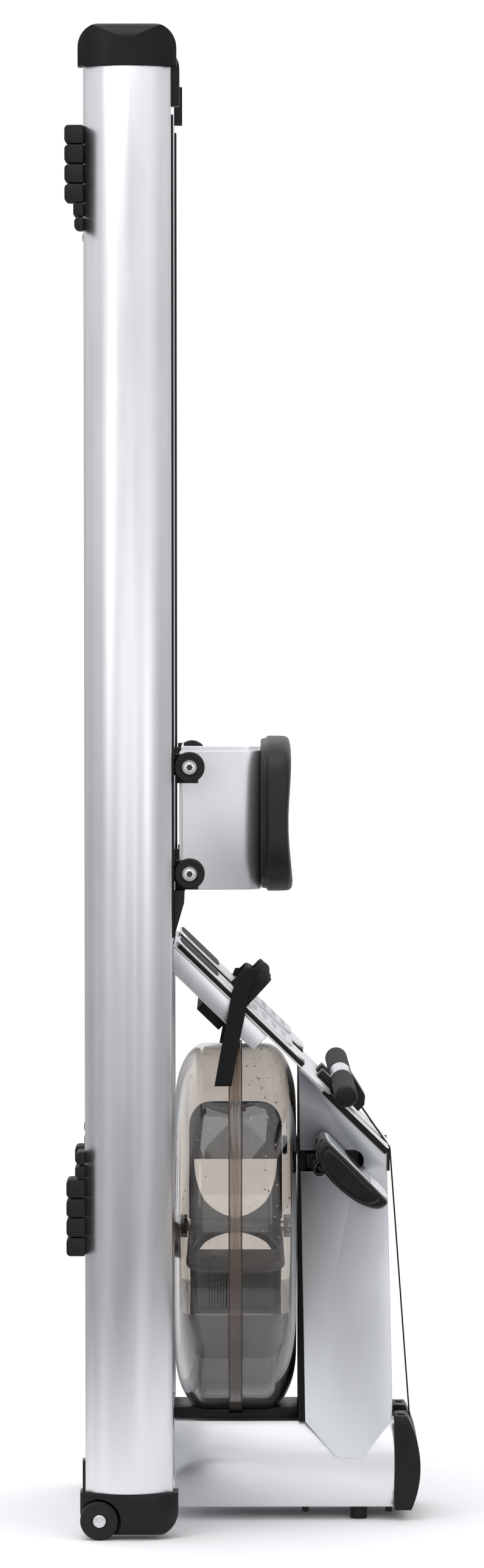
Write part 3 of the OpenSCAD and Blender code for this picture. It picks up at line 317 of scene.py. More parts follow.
black_plastic("matte_black", 0.0060, 0.34, 0.44, 1500.0, 0.03, Specular_IOR_Level=0.24)
black_plastic("gloss_black", 0.004, 0.12, 0.20, 60.0, 0.004, Specular_IOR_Level=0.30, Coat_Weight=0.15,
              Coat_Roughness=0.05)
black_plastic("black_rubber", 0.0085, 0.52, 0.66, 900.0, 0.04, Specular_IOR_Level=0.28)
black_plastic("black_board", 0.0045, 0.45, 0.55, 700.0, 0.03, Specular_IOR_Level=0.16)
black_plastic("cushion_skin", 0.0085, 0.36, 0.46, 1100.0, 0.05, Specular_IOR_Level=0.36)
black_plastic("blade_plastic", 0.052, 0.24, 0.34, 800.0, 0.02)

tree, shader = clouded("white_plastic", (0.74, 0.745, 0.75), (0.71, 0.715, 0.72), (0.78, 0.785, 0.79),
                       (0.38,), 40.0, 2.0)
relief(tree, shader, pores(tree, 1500.0), 0.02, 0.3)
tree, shader = clouded("foam", (0.016, 0.0165, 0.0175), (0.013, 0.0135, 0.0145), (0.022, 0.0225, 0.024),
                       (0.85, 0.78, 0.92), 60.0, 4.0, Specular_IOR_Level=0.25, Sheen_Weight=0.04)
relief(tree, shader, pores(tree, 620.0), 0.25, 0.6)
clouded("display", (0.30, 0.325, 0.30), (0.27, 0.295, 0.275), (0.33, 0.355, 0.33), (0.12,), 20.0, 2.0,
        Coat_Weight=1.0, Coat_Roughness=0.03)
print("plastics:", len(finishes), "finishes so far")

# %% [markdown]
# ### Webbing
# The foot straps, the drive strap and the bungee's cover are woven. On a strap the threads follow
# the strap and not the room, so the pattern reads the piece's own UV map: u counts millimetres
# across the strap and v along it. Ridges across times ridges along are the height of the weave.

# %% Woven finish
tone, thread_mm, depth_mm = 0.0115, 1.3, 0.45
tree, shader = start_finish("webbing", (tone, tone, tone * 1.05), 0.7, Specular_IOR_Level=0.2,
                            Sheen_Weight=0.03)
place = make(tree, "TexCoord").outputs["UV"]
ridges = []
for direction in ("X", "Y"):
    wave = make(tree, "TexWave", Vector=place, Scale=0.314 / thread_mm, Distortion=0.35, Detail=1.0)
    wave.bands_direction = direction
    ridges.append(wave.outputs["Fac"])
weave = maths(tree, "MULTIPLY", *ridges)
shade(tree, shader, weave, (tone * 0.6,) * 3, (tone * 1.5,) * 2 + (tone * 1.6,), 0.1, 0.9)
relief(tree, shader, weave, depth_mm, 0.8)
print("webbing: threads of", thread_mm, "mm")

# %% [markdown]
# ### Tank and water
# The shells are smoke-tinted clear plastic. The water is a grey-blue that lets half of the light
# through, because ripples and spray hide what stands in it. Each is one closed skin with
# refraction, and the water's skin lies just inside the wall, so that no air gap mirrors between
# them. The drops are clearer than the water, since they are thin.

# %% Clear finishes
clouded("smoked_shell", (0.69, 0.655, 0.62), (0.67, 0.635, 0.60), (0.71, 0.675, 0.64), (0.03,), 18.0, 2.0,
        Transmission_Weight=1.0, IOR=1.10, Coat_Weight=1.0, Coat_Roughness=0.03)
clouded("seal_band", (0.50, 0.42, 0.365), (0.47, 0.395, 0.34), (0.53, 0.445, 0.39), (0.16,), 25.0, 2.0,
        Transmission_Weight=0.93, IOR=1.15, Coat_Weight=0.7, Coat_Roughness=0.06)
clouded("water", (0.33, 0.355, 0.395), (0.315, 0.34, 0.38), (0.345, 0.37, 0.41), (0.02,), 12.0, 2.0,
        Transmission_Weight=0.58, IOR=1.33)
clouded("droplet", (0.93, 0.92, 0.91), (0.92, 0.91, 0.90), (0.95, 0.94, 0.93), (0.02,), 40.0, 1.0,
        Transmission_Weight=1.0, IOR=1.33)
print("clear: shells, seal, water and drops")

# %% [markdown]
# ## Carrying the drawn pieces over
# Sheets, plates and extrusions already have their true shape in the drawing. What they lack is the
# small radius of every real edge, the one that catches the light. Each is copied, its triangles
# are joined, its flat areas become one face, and a bevel rounds the edges sharper than an angle.
# Rounding in the shader would be quicker but isn't there from the side.

# %% Copy, join and round
def link(name, mesh, body, finish, stands_for=()):
    """Puts a mesh into the scene as a piece that rides on a body and has a finish."""
    piece = bpy.data.objects.new(name, mesh)
    scene.collection.objects.link(piece)
    mesh.materials.clear()
    mesh.materials.append(finishes[finish])
    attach(piece, body)
    if stands_for:
        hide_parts(*stands_for)
    return piece


def smooth(shape, mesh):
    """Writes an edited shape back to its mesh, all faces smooth."""
    for face in shape.faces:
        face.smooth = True
    shape.to_mesh(mesh)
    shape.free()


body_of_node = {
    node: body
    for body, members in frame["record"]["behaviour"]["bodies"].items()
    for node in members
}


def dressed(node, finish, radius_mm, angle=32.0, segments=2, slot=None, end_y=None):
    """A joined copy of a drawn node with rounded edges, cut off beyond |y| = end_y, standing for it."""
    mesh = frame["nodes"][node].data.copy()
    mesh.name = node + "_dressed"
    shape = bmesh.new()
    shape.from_mesh(mesh)
    bmesh.ops.remove_doubles(shape, verts=shape.verts, dist=0.01 * MM)
    if end_y:
        beyond = [vert for vert in shape.verts if abs(vert.co.y) > end_y * MM]
        bmesh.ops.delete(shape, geom=beyond, context="VERTS")
        bmesh.ops.holes_fill(shape, edges=[edge for edge in shape.edges if edge.is_boundary])
    bmesh.ops.dissolve_limit(shape, angle_limit=math.radians(0.6), verts=shape.verts, edges=shape.edges)
    smooth(shape, mesh)
    piece = link(node + "_dressed", mesh, body_of_node[node], finish, (node,))
    bevel = piece.modifiers.new("edge_radius", "BEVEL")
    bevel.width = radius_mm * MM
    bevel.segments = segments
    bevel.limit_method = "ANGLE"
    bevel.angle_limit = math.radians(angle)
    bevel.harden_normals = True
    bevel.use_clamp_overlap = True


for nodes, finish, radius_mm, more in (
    ("near_rail far_rail", "satin_aluminium", 1.2, {"angle": 40.0}),
    ("foot_beams", "satin_aluminium", 2.0, {"angle": 40.0}),
    ("near_column far_column", "column_aluminium", 1.2, {"angle": 40.0, "slot": "satin_aluminium"}),
    ("near_side_plate far_side_plate", "plate_sheet_painted_shade", 0.9, {"slot": "grey_sheet"}),
    ("drive_cover rail_spreaders", "grey_sheet", 0.9, {}),
    ("seat_frame", "seat_sheet", 0.9, {"slot": "grey_sheet", "end_y": 249.2}),
    ("deck_cover foot_deck foot_plates", "light_sheet", 0.9, {}),
    ("near_heel_plate far_heel_plate", "white_plastic", 0.8, {}),
    ("near_rear_cap far_rear_cap", "matte_black", 5.0, {"angle": 12.0, "segments": 5}),
    ("near_front_cap far_front_cap column_cap tank_cradle foot_bed handle_rest monitor_arm", "matte_black",
     1.2, {}),
    ("seat_stops seat_guides tank_bearings tank_plug", "matte_black", 1.2, {}),
    ("strap_clamp", "matte_black", 3.5, {"segments": 4}),
    ("rubber_feet column_feet seat_tracks", "black_rubber", 1.0, {}),
    ("drive_board", "black_board", 0.8, {}),
    ("axles", "steel", 0.5, {"end_y": 280.1}),
    ("paddle_shaft", "steel", 0.5, {}),
    ("screws", "dark_steel", 0.5, {}),
    ("strap_drum front_pulley bungee_pulley", "dark_steel", 0.6, {}),
    ("paddle_blades", "blade_plastic", 0.9, {}),
    ("monitor_screen", "display", 0.4, {}),
    ("units_button reset_button", "white_plastic", 0.8, {}),
):
    for node in nodes.split():
        dressed(node, finish, radius_mm, **more)

# %% [markdown]
# ## Surfaces from formulas
# The soft and turned pieces are grids of points: each point is a function of two numbers, worked
# out for the whole grid at once. One helper turns such a grid into faces, joins the points that
# meet at a pole or a seam, and turns all faces outwards.

# %% Grid to mesh
def grid_faces(points, wrap_rows):
    """Quads between neighbours of an n by m grid whose columns, and rows where asked, go round."""
    n, m = points.shape[:2]
    row = np.arange(n if wrap_rows else n - 1)[:, None]
    column = np.arange(m)[None, :]
    next_row = (row + 1) % n
    next_column = (column + 1) % m
    corners = (row * m + column, row * m + next_column, next_row * m + next_column, next_row * m + column)
    return np.stack([np.broadcast_to(c, (row.size, column.size)) for c in corners], -1).reshape(-1, 4)


def surface(name, shells, body, finish, stands_for=(), uvs=None, flats=True):
    """A piece from (points, wrap_rows) grids in millimetres; flats keeps its large faces flat."""
    verts, faces, start = [], [], 0
    for points, wrap_rows in shells:
        flat = points.reshape(-1, 3)
        verts.append(flat)
        faces.append(grid_faces(points, wrap_rows) + start)
        start += len(flat)
    verts = np.concatenate(verts) * MM
    faces = np.concatenate(faces)
    mesh = bpy.data.meshes.new(name)
    mesh.from_pydata(verts.tolist(), [], faces.tolist())
    if uvs is not None:
        layer = mesh.uv_layers.new(name="UVMap")
        layer.data.foreach_set("uv", uvs[faces.ravel()].astype(np.float32).ravel())
    shape = bmesh.new()
    shape.from_mesh(mesh)
    bmesh.ops.remove_doubles(shape, verts=shape.verts, dist=0.002 * MM)
    bmesh.ops.recalc_face_normals(shape, faces=shape.faces)
    smooth(shape, mesh)
    piece = link(name, mesh, body, finish, stands_for)
    if flats:
        piece.modifiers.new("flat_faces", "WEIGHTED_NORMAL")
    return piece


# %% Turned pieces
def soft_corners(line, reach):
    """Each corner of a closed line becomes two places, at most reach before and after it."""
    before = np.roll(line, 1, axis=0) - line
    after = np.roll(line, -1, axis=0) - line
    lengths = [np.linalg.norm(step, axis=1, keepdims=True) for step in (before, after)]
    steps = [step / np.maximum(length, 1e-6) * np.minimum(reach, 0.45 * length)
             for step, length in zip((before, after), lengths)]
    return np.stack([line + steps[0], line + steps[1]], 1).reshape(-1, 2)


def turned(line, middle, axis, sides, side=1):
    """Places (t, r) of a line carried round an axis: r cos a and r sin a, and side * t along it."""
    a = np.linspace(0, 2 * np.pi, sides, endpoint=False)[None, :]
    t = side * line[:, :1] + 0 * a
    first, second = line[:, 1:] * np.cos(a), line[:, 1:] * np.sin(a)
    order = (t, first, second) if axis == "X" else (first, t, second)
    return np.stack(order, -1) + np.array(middle, float)


def wheel_grid(line, middle, axis="Y", sides=96, side=1, reach=0.5):
    """A turned closed line with soft corners, ready for surface()."""
    return turned(soft_corners(np.array(line, float), reach), middle, axis, sides, side), True


# %% [markdown]
# ## Tank
# The tank is turned like its mould: two shells that meet under a seal band, each with a tight round
# shoulder and a slightly domed face. Because the wall has the same thickness all over, hardly
# anything seen through it is bent, while its outer skin mirrors the room like lacquer. The seal band
# has a thin black lip along each edge. The water fills the turned shape below one level, with a
# small meniscus where it climbs the wall.

# %% Shells, seal and water
tank_middle = np.array([-13.6, 0.0, 411.2])
plug_middle = tank_middle + (0.0, 123.8, 105.0)
face_r, flat_x, shoulder_x, shoulder_r, wall, dome = 179.0, 42.6, 43.6, 83.0, 5.0, 2.5
rim_r, seam, water_level = face_r + shoulder_r, 0.7, 101.5
bush_r, boss_r, boss_x, closed_x = 12.5, 16.5, 74.7, 84.7


def shoulder(inset):
    """The shell's line from its rim to its face: a quarter of an ellipse of x = sin a, r = cos a."""
    a = np.linspace(0, np.pi / 2, 22)
    x = flat_x + (shoulder_x - inset) * np.sin(a)
    return np.stack([x, face_r + (shoulder_r - inset) * np.cos(a)], -1)


def face_line(inset, outer_r, inner_r, count=8):
    """The domed face between two radii: x rises by the dome, evenly, towards the axis."""
    r = np.linspace(outer_r, inner_r, count)
    return np.stack([flat_x + shoulder_x - inset + dome * (1 - r / face_r), r], -1)


def shell_line(through):
    """Outline of one shell's wall, open for the shaft or closed at its outer end."""
    outer = [[[seam, rim_r]], shoulder(0), face_line(0, face_r, bush_r if through else 0.0)[1:]]
    socket = [[boss_x, bush_r], [boss_x, boss_r]]
    if not through:
        socket = [[closed_x, 0.0], [closed_x, bush_r]] + socket
    inner = [socket, face_line(wall, boss_r, face_r), shoulder(wall)[::-1][1:], [[seam, rim_r - wall]]]
    return np.concatenate(outer + inner)


neck = [[84.0, 14.0], [90.2, 14.0], [90.2, 18.0], [84.0, 18.0]]
upper = turned(shell_line(True), tank_middle, "X", 160)
surface("upper_tank_shell", [(upper, True), wheel_grid(neck, plug_middle, "X", 48)], "frame",
        "smoked_shell", ("tank_upper_shell",))
lower = turned(shell_line(False), tank_middle, "X", 160, side=-1)
surface("lower_tank_shell", [(lower, True)], "frame", "smoked_shell", ("tank_lower_shell",))
seal = [[-9.5, 262.1], [-9.5, 267], [-7.7, 267], [-7.4, 265.8], [-2.2, 265.8], [-1.6, 266.3], [1.6, 266.3],
        [2.2, 265.8], [7.4, 265.8], [7.7, 267], [9.5, 267], [9.5, 262.1], [0.6, 262.1], [0.6, 257],
        [-0.6, 257], [-0.6, 262.1]]
surface("seal_band", [wheel_grid(seal, tank_middle, "X", 160, reach=0.35)], "frame", "seal_band",
        ("tank_seal",))
lips = []
for x in (-8.8, 8.8):
    lip = [[x - 0.7, 266], [x - 0.7, 267.1], [x + 0.7, 267.1], [x + 0.7, 266]]
    lips.append(wheel_grid(lip, tank_middle, "X", 160))
surface("seal_lips", lips, "frame", "black_rubber")


def water_body(level):
    """The part of the turned inside below z = -level: arcs of the wall closed by the surface."""
    inset, climb, climb_width = wall + 0.3, 1.4, 1.5
    rim = np.concatenate([face_line(inset, face_r, level + 0.5, 10)[::-1][:-1], shoulder(inset)[::-1]])
    line = np.concatenate([rim * (-1, 1), rim[::-1]])
    x, r = line[:, :1], line[:, 1:]
    half = np.arccos(np.clip(level / r, -1, 1))
    a = np.linspace(-1, 1, 96)[None, :] * half
    arc_y, arc_z = r * np.sin(a), -r * np.cos(a)
    width = np.sqrt(np.maximum(r ** 2 - level ** 2, 0))
    across = -np.cos(np.linspace(0, np.pi, 40)[1:-1])[None, :]
    top_y = -across * width
    meniscus = np.exp(-width * (1 - np.abs(across)) / climb_width) - np.exp(-width / climb_width)
    y = np.concatenate([arc_y, top_y], 1)
    z = np.concatenate([arc_z, climb * meniscus - level], 1)
    return np.stack([x + 0 * y, y, z], -1) + tank_middle


surface("tank_water", [(water_body(water_level), False)], "frame", "water", ("water",))
print("tank: two shells, a seal and water")

# %% [markdown]
# ### Droplets
# After rowing, spray stays on the inside of the shells above the water, most of it on the right
# where the wheel throws it. Each drop is a small ball on the wall; a seeded random generator
# places and sizes them, so the picture is the same at every run.

# %% Droplets on the wall
def droplets(count, seed):
    """Balls of radius 0.6 to 1.7 on the inner wall, at random turns and distances from the seal."""
    farthest, share_right = 84.0, 0.8
    rng = np.random.default_rng(seed)
    turn_at = np.radians(rng.uniform(95, 178, count))
    from_seal = farthest * rng.beta(1.6, 1.1, count) * np.where(rng.random(count) < share_right, 1, -1)
    size = 0.6 + 1.1 * rng.random(count) ** 3
    reach = np.clip((np.abs(from_seal) - flat_x) / (shoulder_x - wall), 0, 0.999)
    r = face_r + (shoulder_r - wall) * np.sqrt(1 - reach ** 2) - 0.4
    middle = np.stack([from_seal, r * np.cos(turn_at), r * np.sin(turn_at)], -1) + tank_middle
    lat = np.linspace(0, np.pi, 7)[:, None]
    lon = np.linspace(0, 2 * np.pi, 10, endpoint=False)[None, :]
    ball = np.stack([np.sin(lat) * np.cos(lon), np.sin(lat) * np.sin(lon), np.cos(lat) + 0 * lon], -1)
    return [(place + radius * ball, False) for place, radius in zip(middle, size)]


drop_count = 170
surface("spray_drops", droplets(drop_count, 7), "frame", "droplet", flats=False)
print("spray:", drop_count, "drops")

# %% [markdown]
# ## Wheels and their bolts
# Every wheel is a rubber tyre on a ball bearing, held by a bolt with a socket in its head. A plain
# disc would do from afar; here tyre, bearing ring and shield are turned from their own profiles
# and ride on the wheel, while the bolt stays with the piece that carries it.

# %% Seat wheels and transport wheels
def wheels(places, tyre, core, core_name, core_finish, washer, washer_sides, bolt):
    """Tyres and cores that ride on their own bodies; the washers' and the bolts' grids are returned."""
    washers, bolts = [], []
    for body, side, middle in places:
        tyre_grid = wheel_grid(tyre, middle, side=side, reach=0.8)
        surface(body + "_tyre", [tyre_grid], body, "black_rubber", (body,))
        surface(body + core_name, [wheel_grid(core, middle, side=side)], body, core_finish)
        washers.append(wheel_grid(washer, middle, sides=washer_sides, side=side, reach=0.2))
        bolts.append(wheel_grid(bolt, middle, sides=6, side=side, reach=0.2))
    return washers, bolts


front_axle, rear_axle = (-77.0, 0.0, 929.35), (-77.0, 0.0, 1078.05)
roller_axle = (-203.6, 0.0, 27.0)
washers, bolts = wheels(
    (("near_front_wheel", -1, front_axle), ("near_rear_wheel", -1, rear_axle),
     ("far_front_wheel", 1, front_axle), ("far_rear_wheel", 1, rear_axle)),
    tyre=[[229, 10.3], [229, 11.6], [230.4, 12.4], [229.2, 19], [230.6, 21.2], [247.4, 21.2], [248.8, 19.2],
          [247.6, 12.6], [249, 11.6], [249, 10.3]],
    core=[[230, 5.1], [230, 10.3], [248.3, 10.3], [248.3, 8.7], [247.3, 8.5], [247.3, 6.6], [248.2, 6.4],
          [248.2, 5.1]], core_name="_bearing", core_finish="steel",
    washer=[[249.3, 0], [249.3, 6.3], [250.1, 6.3], [250.1, 0]], washer_sides=48,
    bolt=[[250.1, 0], [250.1, 4.7], [251.7, 4.3], [251.7, 2.3], [250.5, 2.2], [250.5, 0]])
surface("seat_axle_washers", washers, "seat", "steel")
surface("seat_axle_bolts", bolts, "seat", "dark_steel")

washers, bolts = wheels(
    (("near_transport_wheel", -1, roller_axle), ("far_transport_wheel", 1, roller_axle)),
    tyre=[[260, 9.6], [260, 24.6], [262.2, 27], [277.8, 27], [280, 24.6], [279.2, 23.6], [279.2, 13.4],
          [280, 12.6], [280, 9.6]],
    core=[[262, 5.1], [262, 9.6], [279.6, 9.6], [279.6, 8.2], [278.8, 8.0], [278.8, 5.1]],
    core_name="_hub", core_finish="dark_steel",
    washer=[[280.1, 0], [280.1, 8.9], [281.1, 8.9], [281.1, 7.7], [280.7, 7.4], [280.7, 6.6], [281.4, 6.3],
            [281.4, 0]], washer_sides=96,
    bolt=[[281.4, 0], [281.4, 4.6], [282.9, 4.2], [282.9, 2.4], [281.8, 2.3], [281.8, 0]])
surface("roller_washers", washers, "frame", "steel")
surface("roller_bolts", bolts, "frame", "steel")
print("wheels: four on the seat, two for transport")

# %% [markdown]
# ## Handle
# The handle is a tube with a thicker grooved sleeve where the strap's clamp holds it. Each foam grip
# is slipped on and closed by a moulded cap. It lies in its rest a little tilted, as a hand leaves it.

# %% Bar, grips and caps
handle_place = (137.70, 0.0, 625.25)
raise_angle, swing_angle = math.radians(2), math.radians(1)


def as_stored(grid):
    """The handle as it lies in its rest: far end raised about X, near end swung out about Z."""
    points, wrap_rows = grid
    turn = Matrix.Rotation(swing_angle, 3, "Z") @ Matrix.Rotation(raise_angle, 3, "X")
    return points @ np.array(turn).T + np.array(handle_place), wrap_rows


sleeve = [[-46, 12], [-46, 15.4], [-19, 15.4], [-18, 14.4], [-17, 15.4], [-15, 15.4], [-14, 14.4],
          [-13, 15.4], [13, 15.4], [14, 14.4], [15, 15.4], [17, 15.4], [18, 14.4], [19, 15.4],
          [46, 15.4], [46, 12], [234, 12], [234, 0], [-234, 0], [-234, 12]]
foam_line = [[46.1, 12.1], [46.1, 15.2], [47.5, 16], [100, 16], [170, 16], [231, 16], [232.5, 15.2],
             [232.5, 12.1]]
cap_line = [[232.6, 12.1], [232.6, 15.4], [236, 15], [239, 12.5], [240, 8], [240, 0], [234.2, 0],
            [234.2, 12.1]]
tube = as_stored(wheel_grid(sleeve, (0, 0, 0), reach=0.3))
foams = [as_stored(wheel_grid(foam_line, (0, 0, 0), side=side, reach=0.6)) for side in (-1, 1)]
caps = [as_stored(wheel_grid(cap_line, (0, 0, 0), side=side, reach=0.8)) for side in (-1, 1)]
surface("handle_tube", [tube], "handle", "satin_aluminium", ("handle_bar",))
surface("foam_grips", foams, "handle", "foam", ("handle_grips",))
surface("grip_caps", caps, "handle", "matte_black")
print("handle done")

# %% [markdown]
# ## Cushion
# The seat cushion is one block of foam moulded with its own skin: it draws in at the base, is
# fullest halfway up, and its top dips where the sitter rests. It could be inflated as cloth, but
# moulded foam keeps its mould's shape, so its surface is written down: rings of a rounded
# rectangle, each scaled and raised along a curve, with a saddle taken out of the top.

# %% Cushion surface
def cornered(values, power):
    """A wave whose values are raised to a power but keep their sign: circles turn towards squares."""
    return np.sign(values) * np.abs(values) ** power


cushion_x, cushion_mid_z = 23.0, 1003.7
cushion_len, cushion_w, cushion_h, cushion_dip = 218.0, 300.0, 46.0, 10.0
ring_scale = [0, 0.45, 0.93, 0.958, 0.966, 0.97, 0.985, 1, 1, 0.998, 0.99, 0.972, 0.94, 0.89, 0.7, 0.45,
              0.2, 0]
ring_height = [0, 0, 0, 0.02, 0.1, 0.165, 0.185, 0.23, 0.5, 0.75, 0.86, 0.93, 0.975, 1, 1, 1, 1, 1]


def cushion_points(rings, sides):
    """Ring s and angle a: z and y follow a rounded rectangle, x the ring's height less the saddle."""
    s = np.linspace(0, len(ring_scale) - 1, rings)
    scale = np.interp(s, range(len(ring_scale)), ring_scale)[:, None]
    height = np.interp(s, range(len(ring_height)), ring_height)[:, None]
    a = np.linspace(0, 2 * np.pi, sides, endpoint=False)[None, :]
    z = scale * cushion_len / 2 * cornered(np.cos(a), 0.5)
    y = scale * cushion_w / 2 * cornered(np.sin(a), 0.5)
    along = np.clip(np.abs(z / (cushion_len / 2) + 0.08), 0, 1)
    saddle = cushion_dip * np.cos(np.pi / 2 * along) ** 2 * (1 - 0.35 * (y / (cushion_w / 2)) ** 2)
    thinner_end = 4.0 * np.clip(z / (cushion_len / 2) / 0.9, 0, 1) ** 2
    x = cushion_x + cushion_h * height - np.clip((height - 0.3) / 0.7, 0, 1) * (saddle + thinner_end)
    return np.stack([x + 0 * z, y, cushion_mid_z + z], -1)


cushion = surface("cushion", [(cushion_points(120, 160), False)], "seat", "cushion_skin",
                  ("seat_cushion",), flats=False)
print("cushion:", len(cushion.data.polygons), "faces")

# %% [markdown]
# ## Straps and bungee
# A strap is a flat band carried along a line: at each place of the line a short cross-section is
# set square to the line's direction. The near foot strap stands up in an arch, the far one has
# sunk. Pulleys and clamps hold the drive strap and the bungee, so they are drawn on that way.

# %% Carry a cross-section along a line
def unit(v):
    """Vectors of length one."""
    return v / np.linalg.norm(v, axis=-1, keepdims=True)


def run_along(places):
    """Millimetres from the start of a line to each of its places."""
    return np.concatenate([[0], np.cumsum(np.linalg.norm(np.diff(places, axis=0), axis=1))])


def length(places):
    """A line's whole length in millimetres."""
    return round(float(run_along(places)[-1]))


def closed_ends(places, rings, around):
    """Rings that meet in a point at both ends of their line, with u round a ring and v along the line."""
    first, last = (np.repeat(end[:, None, :], rings.shape[1], 1) for end in (places[:1], places[-1:]))
    run = run_along(places)
    run = np.concatenate([run[:1], run, run[-1:]])
    uvs = np.stack(np.broadcast_arrays(around[None, :], run[:, None]), -1).reshape(-1, 2)
    return np.concatenate([first, rings, last]), uvs


def band(places, across, width, thick, cup=0.0, ripple=0.0):
    """Place + across * w + normal * t, where t bends by cup * (2w)^2 plus a ripple cos(3 pi w) across."""
    normal = unit(np.cross(unit(np.gradient(places, axis=0)), across))
    half, deep, corner = width / 2, thick / 2, 0.4
    inner = np.linspace(-half + corner * deep, half - corner * deep, 11)
    outline = np.concatenate([[(-half, -deep * corner)], np.stack([inner, 0 * inner - deep], -1),
                              [(half, -deep * corner), (half, deep * corner)],
                              np.stack([inner[::-1], 0 * inner + deep], -1), [(-half, deep * corner)]])
    share = outline[None, :, :1] / width
    cup, ripple = np.reshape(cup, (-1, 1, 1)), np.reshape(ripple, (-1, 1, 1))
    lift = cup * (2 * share) ** 2 + ripple * np.cos(3 * np.pi * share)
    rings = (places[:, None, :] + across[:, None, :] * outline[None, :, :1]
             + normal[:, None, :] * (outline[None, :, 1:] + lift))
    return closed_ends(places, rings, outline[:, 0])


def resample(places, count):
    """The same line with evenly spaced places."""
    run = run_along(places)
    at = np.linspace(0, run[-1], count)
    return np.stack([np.interp(at, run, places[:, k]) for k in range(places.shape[1])], -1)


slope = math.radians(44)
deck_x0, deck_z0 = -103.0, 826.0


def on_deck(u, w, y):
    """Places u down the deck's slope and w above it."""
    u, w, y = np.broadcast_arrays(*(np.asarray(value, float) for value in (u, w, y)))
    return np.stack([deck_x0 + u * math.cos(slope) + w * math.sin(slope), y,
                     deck_z0 - u * math.sin(slope) + w * math.cos(slope)], -1)


arch_u, arch_foot, arch_rise, arch_middle, arch_half = 122.0, 5.25, 63.0, 113.0, 60.85
arch_width, loose_width, webbing_thick = 29.0, 24.0, 2.5
arch_cup, arch_ripple, arch_twist, end_ripple = 4.5, 0.9, 0.35, 0.25
loose_y, loose_z = 177.0, 762.6
hanging = np.array([(11, -30), (5, -19), (-2, -7), (-6, 2), (-9, 18), (-13, 42), (-19, 70), (-25, 102),
                    (-31, 136)], float)


def arch_line(side, sag):
    """Angle a from 0 to half a turn: height sag * sin(a)^0.72, reach across cos(a)^0.7."""
    a = np.linspace(0, np.pi, 61)
    y = -arch_half * cornered(np.cos(a), 0.7)
    return on_deck(arch_u, arch_foot + arch_rise * sag * np.sin(a) ** 0.72, side * (arch_middle + y))


down_slope = np.array([math.cos(slope), 0, -math.sin(slope)])
strap_parts, strap_lengths = [], []
for side, sag in ((-1, 1.0), (1, 0.62)):
    line = arch_line(side, sag)
    top = np.sin(np.linspace(0, np.pi, len(line))) ** 3
    twist = arch_twist * top * np.sin(np.linspace(0, 3 * np.pi, len(line)))
    lean = np.cross(unit(np.gradient(line, axis=0)), np.broadcast_to(down_slope, line.shape))
    across = unit(down_slope + twist[:, None] * lean)
    strap_parts.append(band(line, across, arch_width, webbing_thick, side * arch_cup * top,
                            arch_ripple * top))
    drops = hanging[2:] if side > 0 else hanging
    tail = np.stack([drops[:, 0], np.full(len(drops), side * loose_y), loose_z - drops[:, 1]], -1)
    tail = resample(tail, 40)
    across = np.broadcast_to(np.array([1.0, 0, 0]), tail.shape)
    waves = end_ripple * np.sin(np.linspace(0, 7, len(tail)))
    strap_parts.append(band(tail, across, loose_width, webbing_thick, ripple=waves))
    strap_lengths += [length(line), length(tail)]
surface("foot_webbing", [(points, False) for points, _ in strap_parts], "frame", "webbing",
        ("foot_straps",), np.concatenate([uvs for _, uvs in strap_parts]), flats=False)
print("foot straps: near arch, near end, far arch, far end", strap_lengths, "mm")

# %% Drive strap and bungee
pulley = np.array([220.7, 85.0])
drum = np.array([131.4, tank_middle[2]])
edge = np.array([201.1, 521.5])
strap_path, drum_path, edge_path = 18.6, 37.3, 6.5
ribbon_width, ribbon_thick, cord_r = 20.0, 2.0, 4.0


def arc(middle, radius, start, end, count):
    """Places (x, z) on a circle between two angles in degrees."""
    a = np.radians(np.linspace(start, end, count))
    return np.stack([middle[0] + radius * np.cos(a), middle[1] + radius * np.sin(a)], -1)


clamp_end = on_deck(363.8, 12.0, 0.0)[[0, 2]]
side_run = np.concatenate([[clamp_end], arc(edge, edge_path, 50, 0, 6),
                           arc(pulley, strap_path, 0, -180, 25)])
strap_flat = np.stack([side_run[:, 0], 0 * side_run[:, 0], side_run[:, 1]], -1)
strap_cross = np.broadcast_to(np.array([0.0, 1, 0]), strap_flat.shape)
touch = math.asin(drum_path / (drum[1] - pulley[1]))
t = np.linspace(0, 1, 41)[1:-1]
slide = np.minimum(1, t / 0.8)
turn = np.pi / 2 * slide
climb = np.stack([pulley[0] - strap_path + slide * (drum[0] - pulley[0] + strap_path),
                  t * drum_path * math.cos(touch),
                  pulley[1] + t * (drum[1] - pulley[1] - drum_path * math.sin(touch))], -1)
climb_cross = np.stack([-np.sin(turn), np.cos(turn), 0 * turn], -1)
a = np.linspace(-touch, math.radians(96), 14)
wound = np.stack([0 * a + drum[0], drum_path * np.cos(a), drum[1] + drum_path * np.sin(a)], -1)
wound_cross = np.broadcast_to(np.array([-1.0, 0, 0]), wound.shape)
strap_line = np.concatenate([strap_flat, climb, wound])
strap_across = np.concatenate([strap_cross, climb_cross, wound_cross])
points, uvs = band(strap_line, strap_across, ribbon_width, ribbon_thick)
surface("drive_ribbon", [(points, False)], "frame", "webbing", ("drive_strap",), uvs, flats=False)


def cord(places, radius, sides=14):
    """Circles of one radius set square to a line that keeps its x."""
    u = np.broadcast_to(np.array([1.0, 0, 0]), places.shape)
    v = np.cross(unit(np.gradient(places, axis=0)), u)
    a = np.linspace(0, 2 * np.pi, sides, endpoint=False)[None, :, None]
    rings = places[:, None, :] + radius * (np.cos(a) * u[:, None, :] + np.sin(a) * v[:, None, :])
    return closed_ends(places, rings, np.linspace(0, 2 * np.pi * radius, sides, endpoint=False))


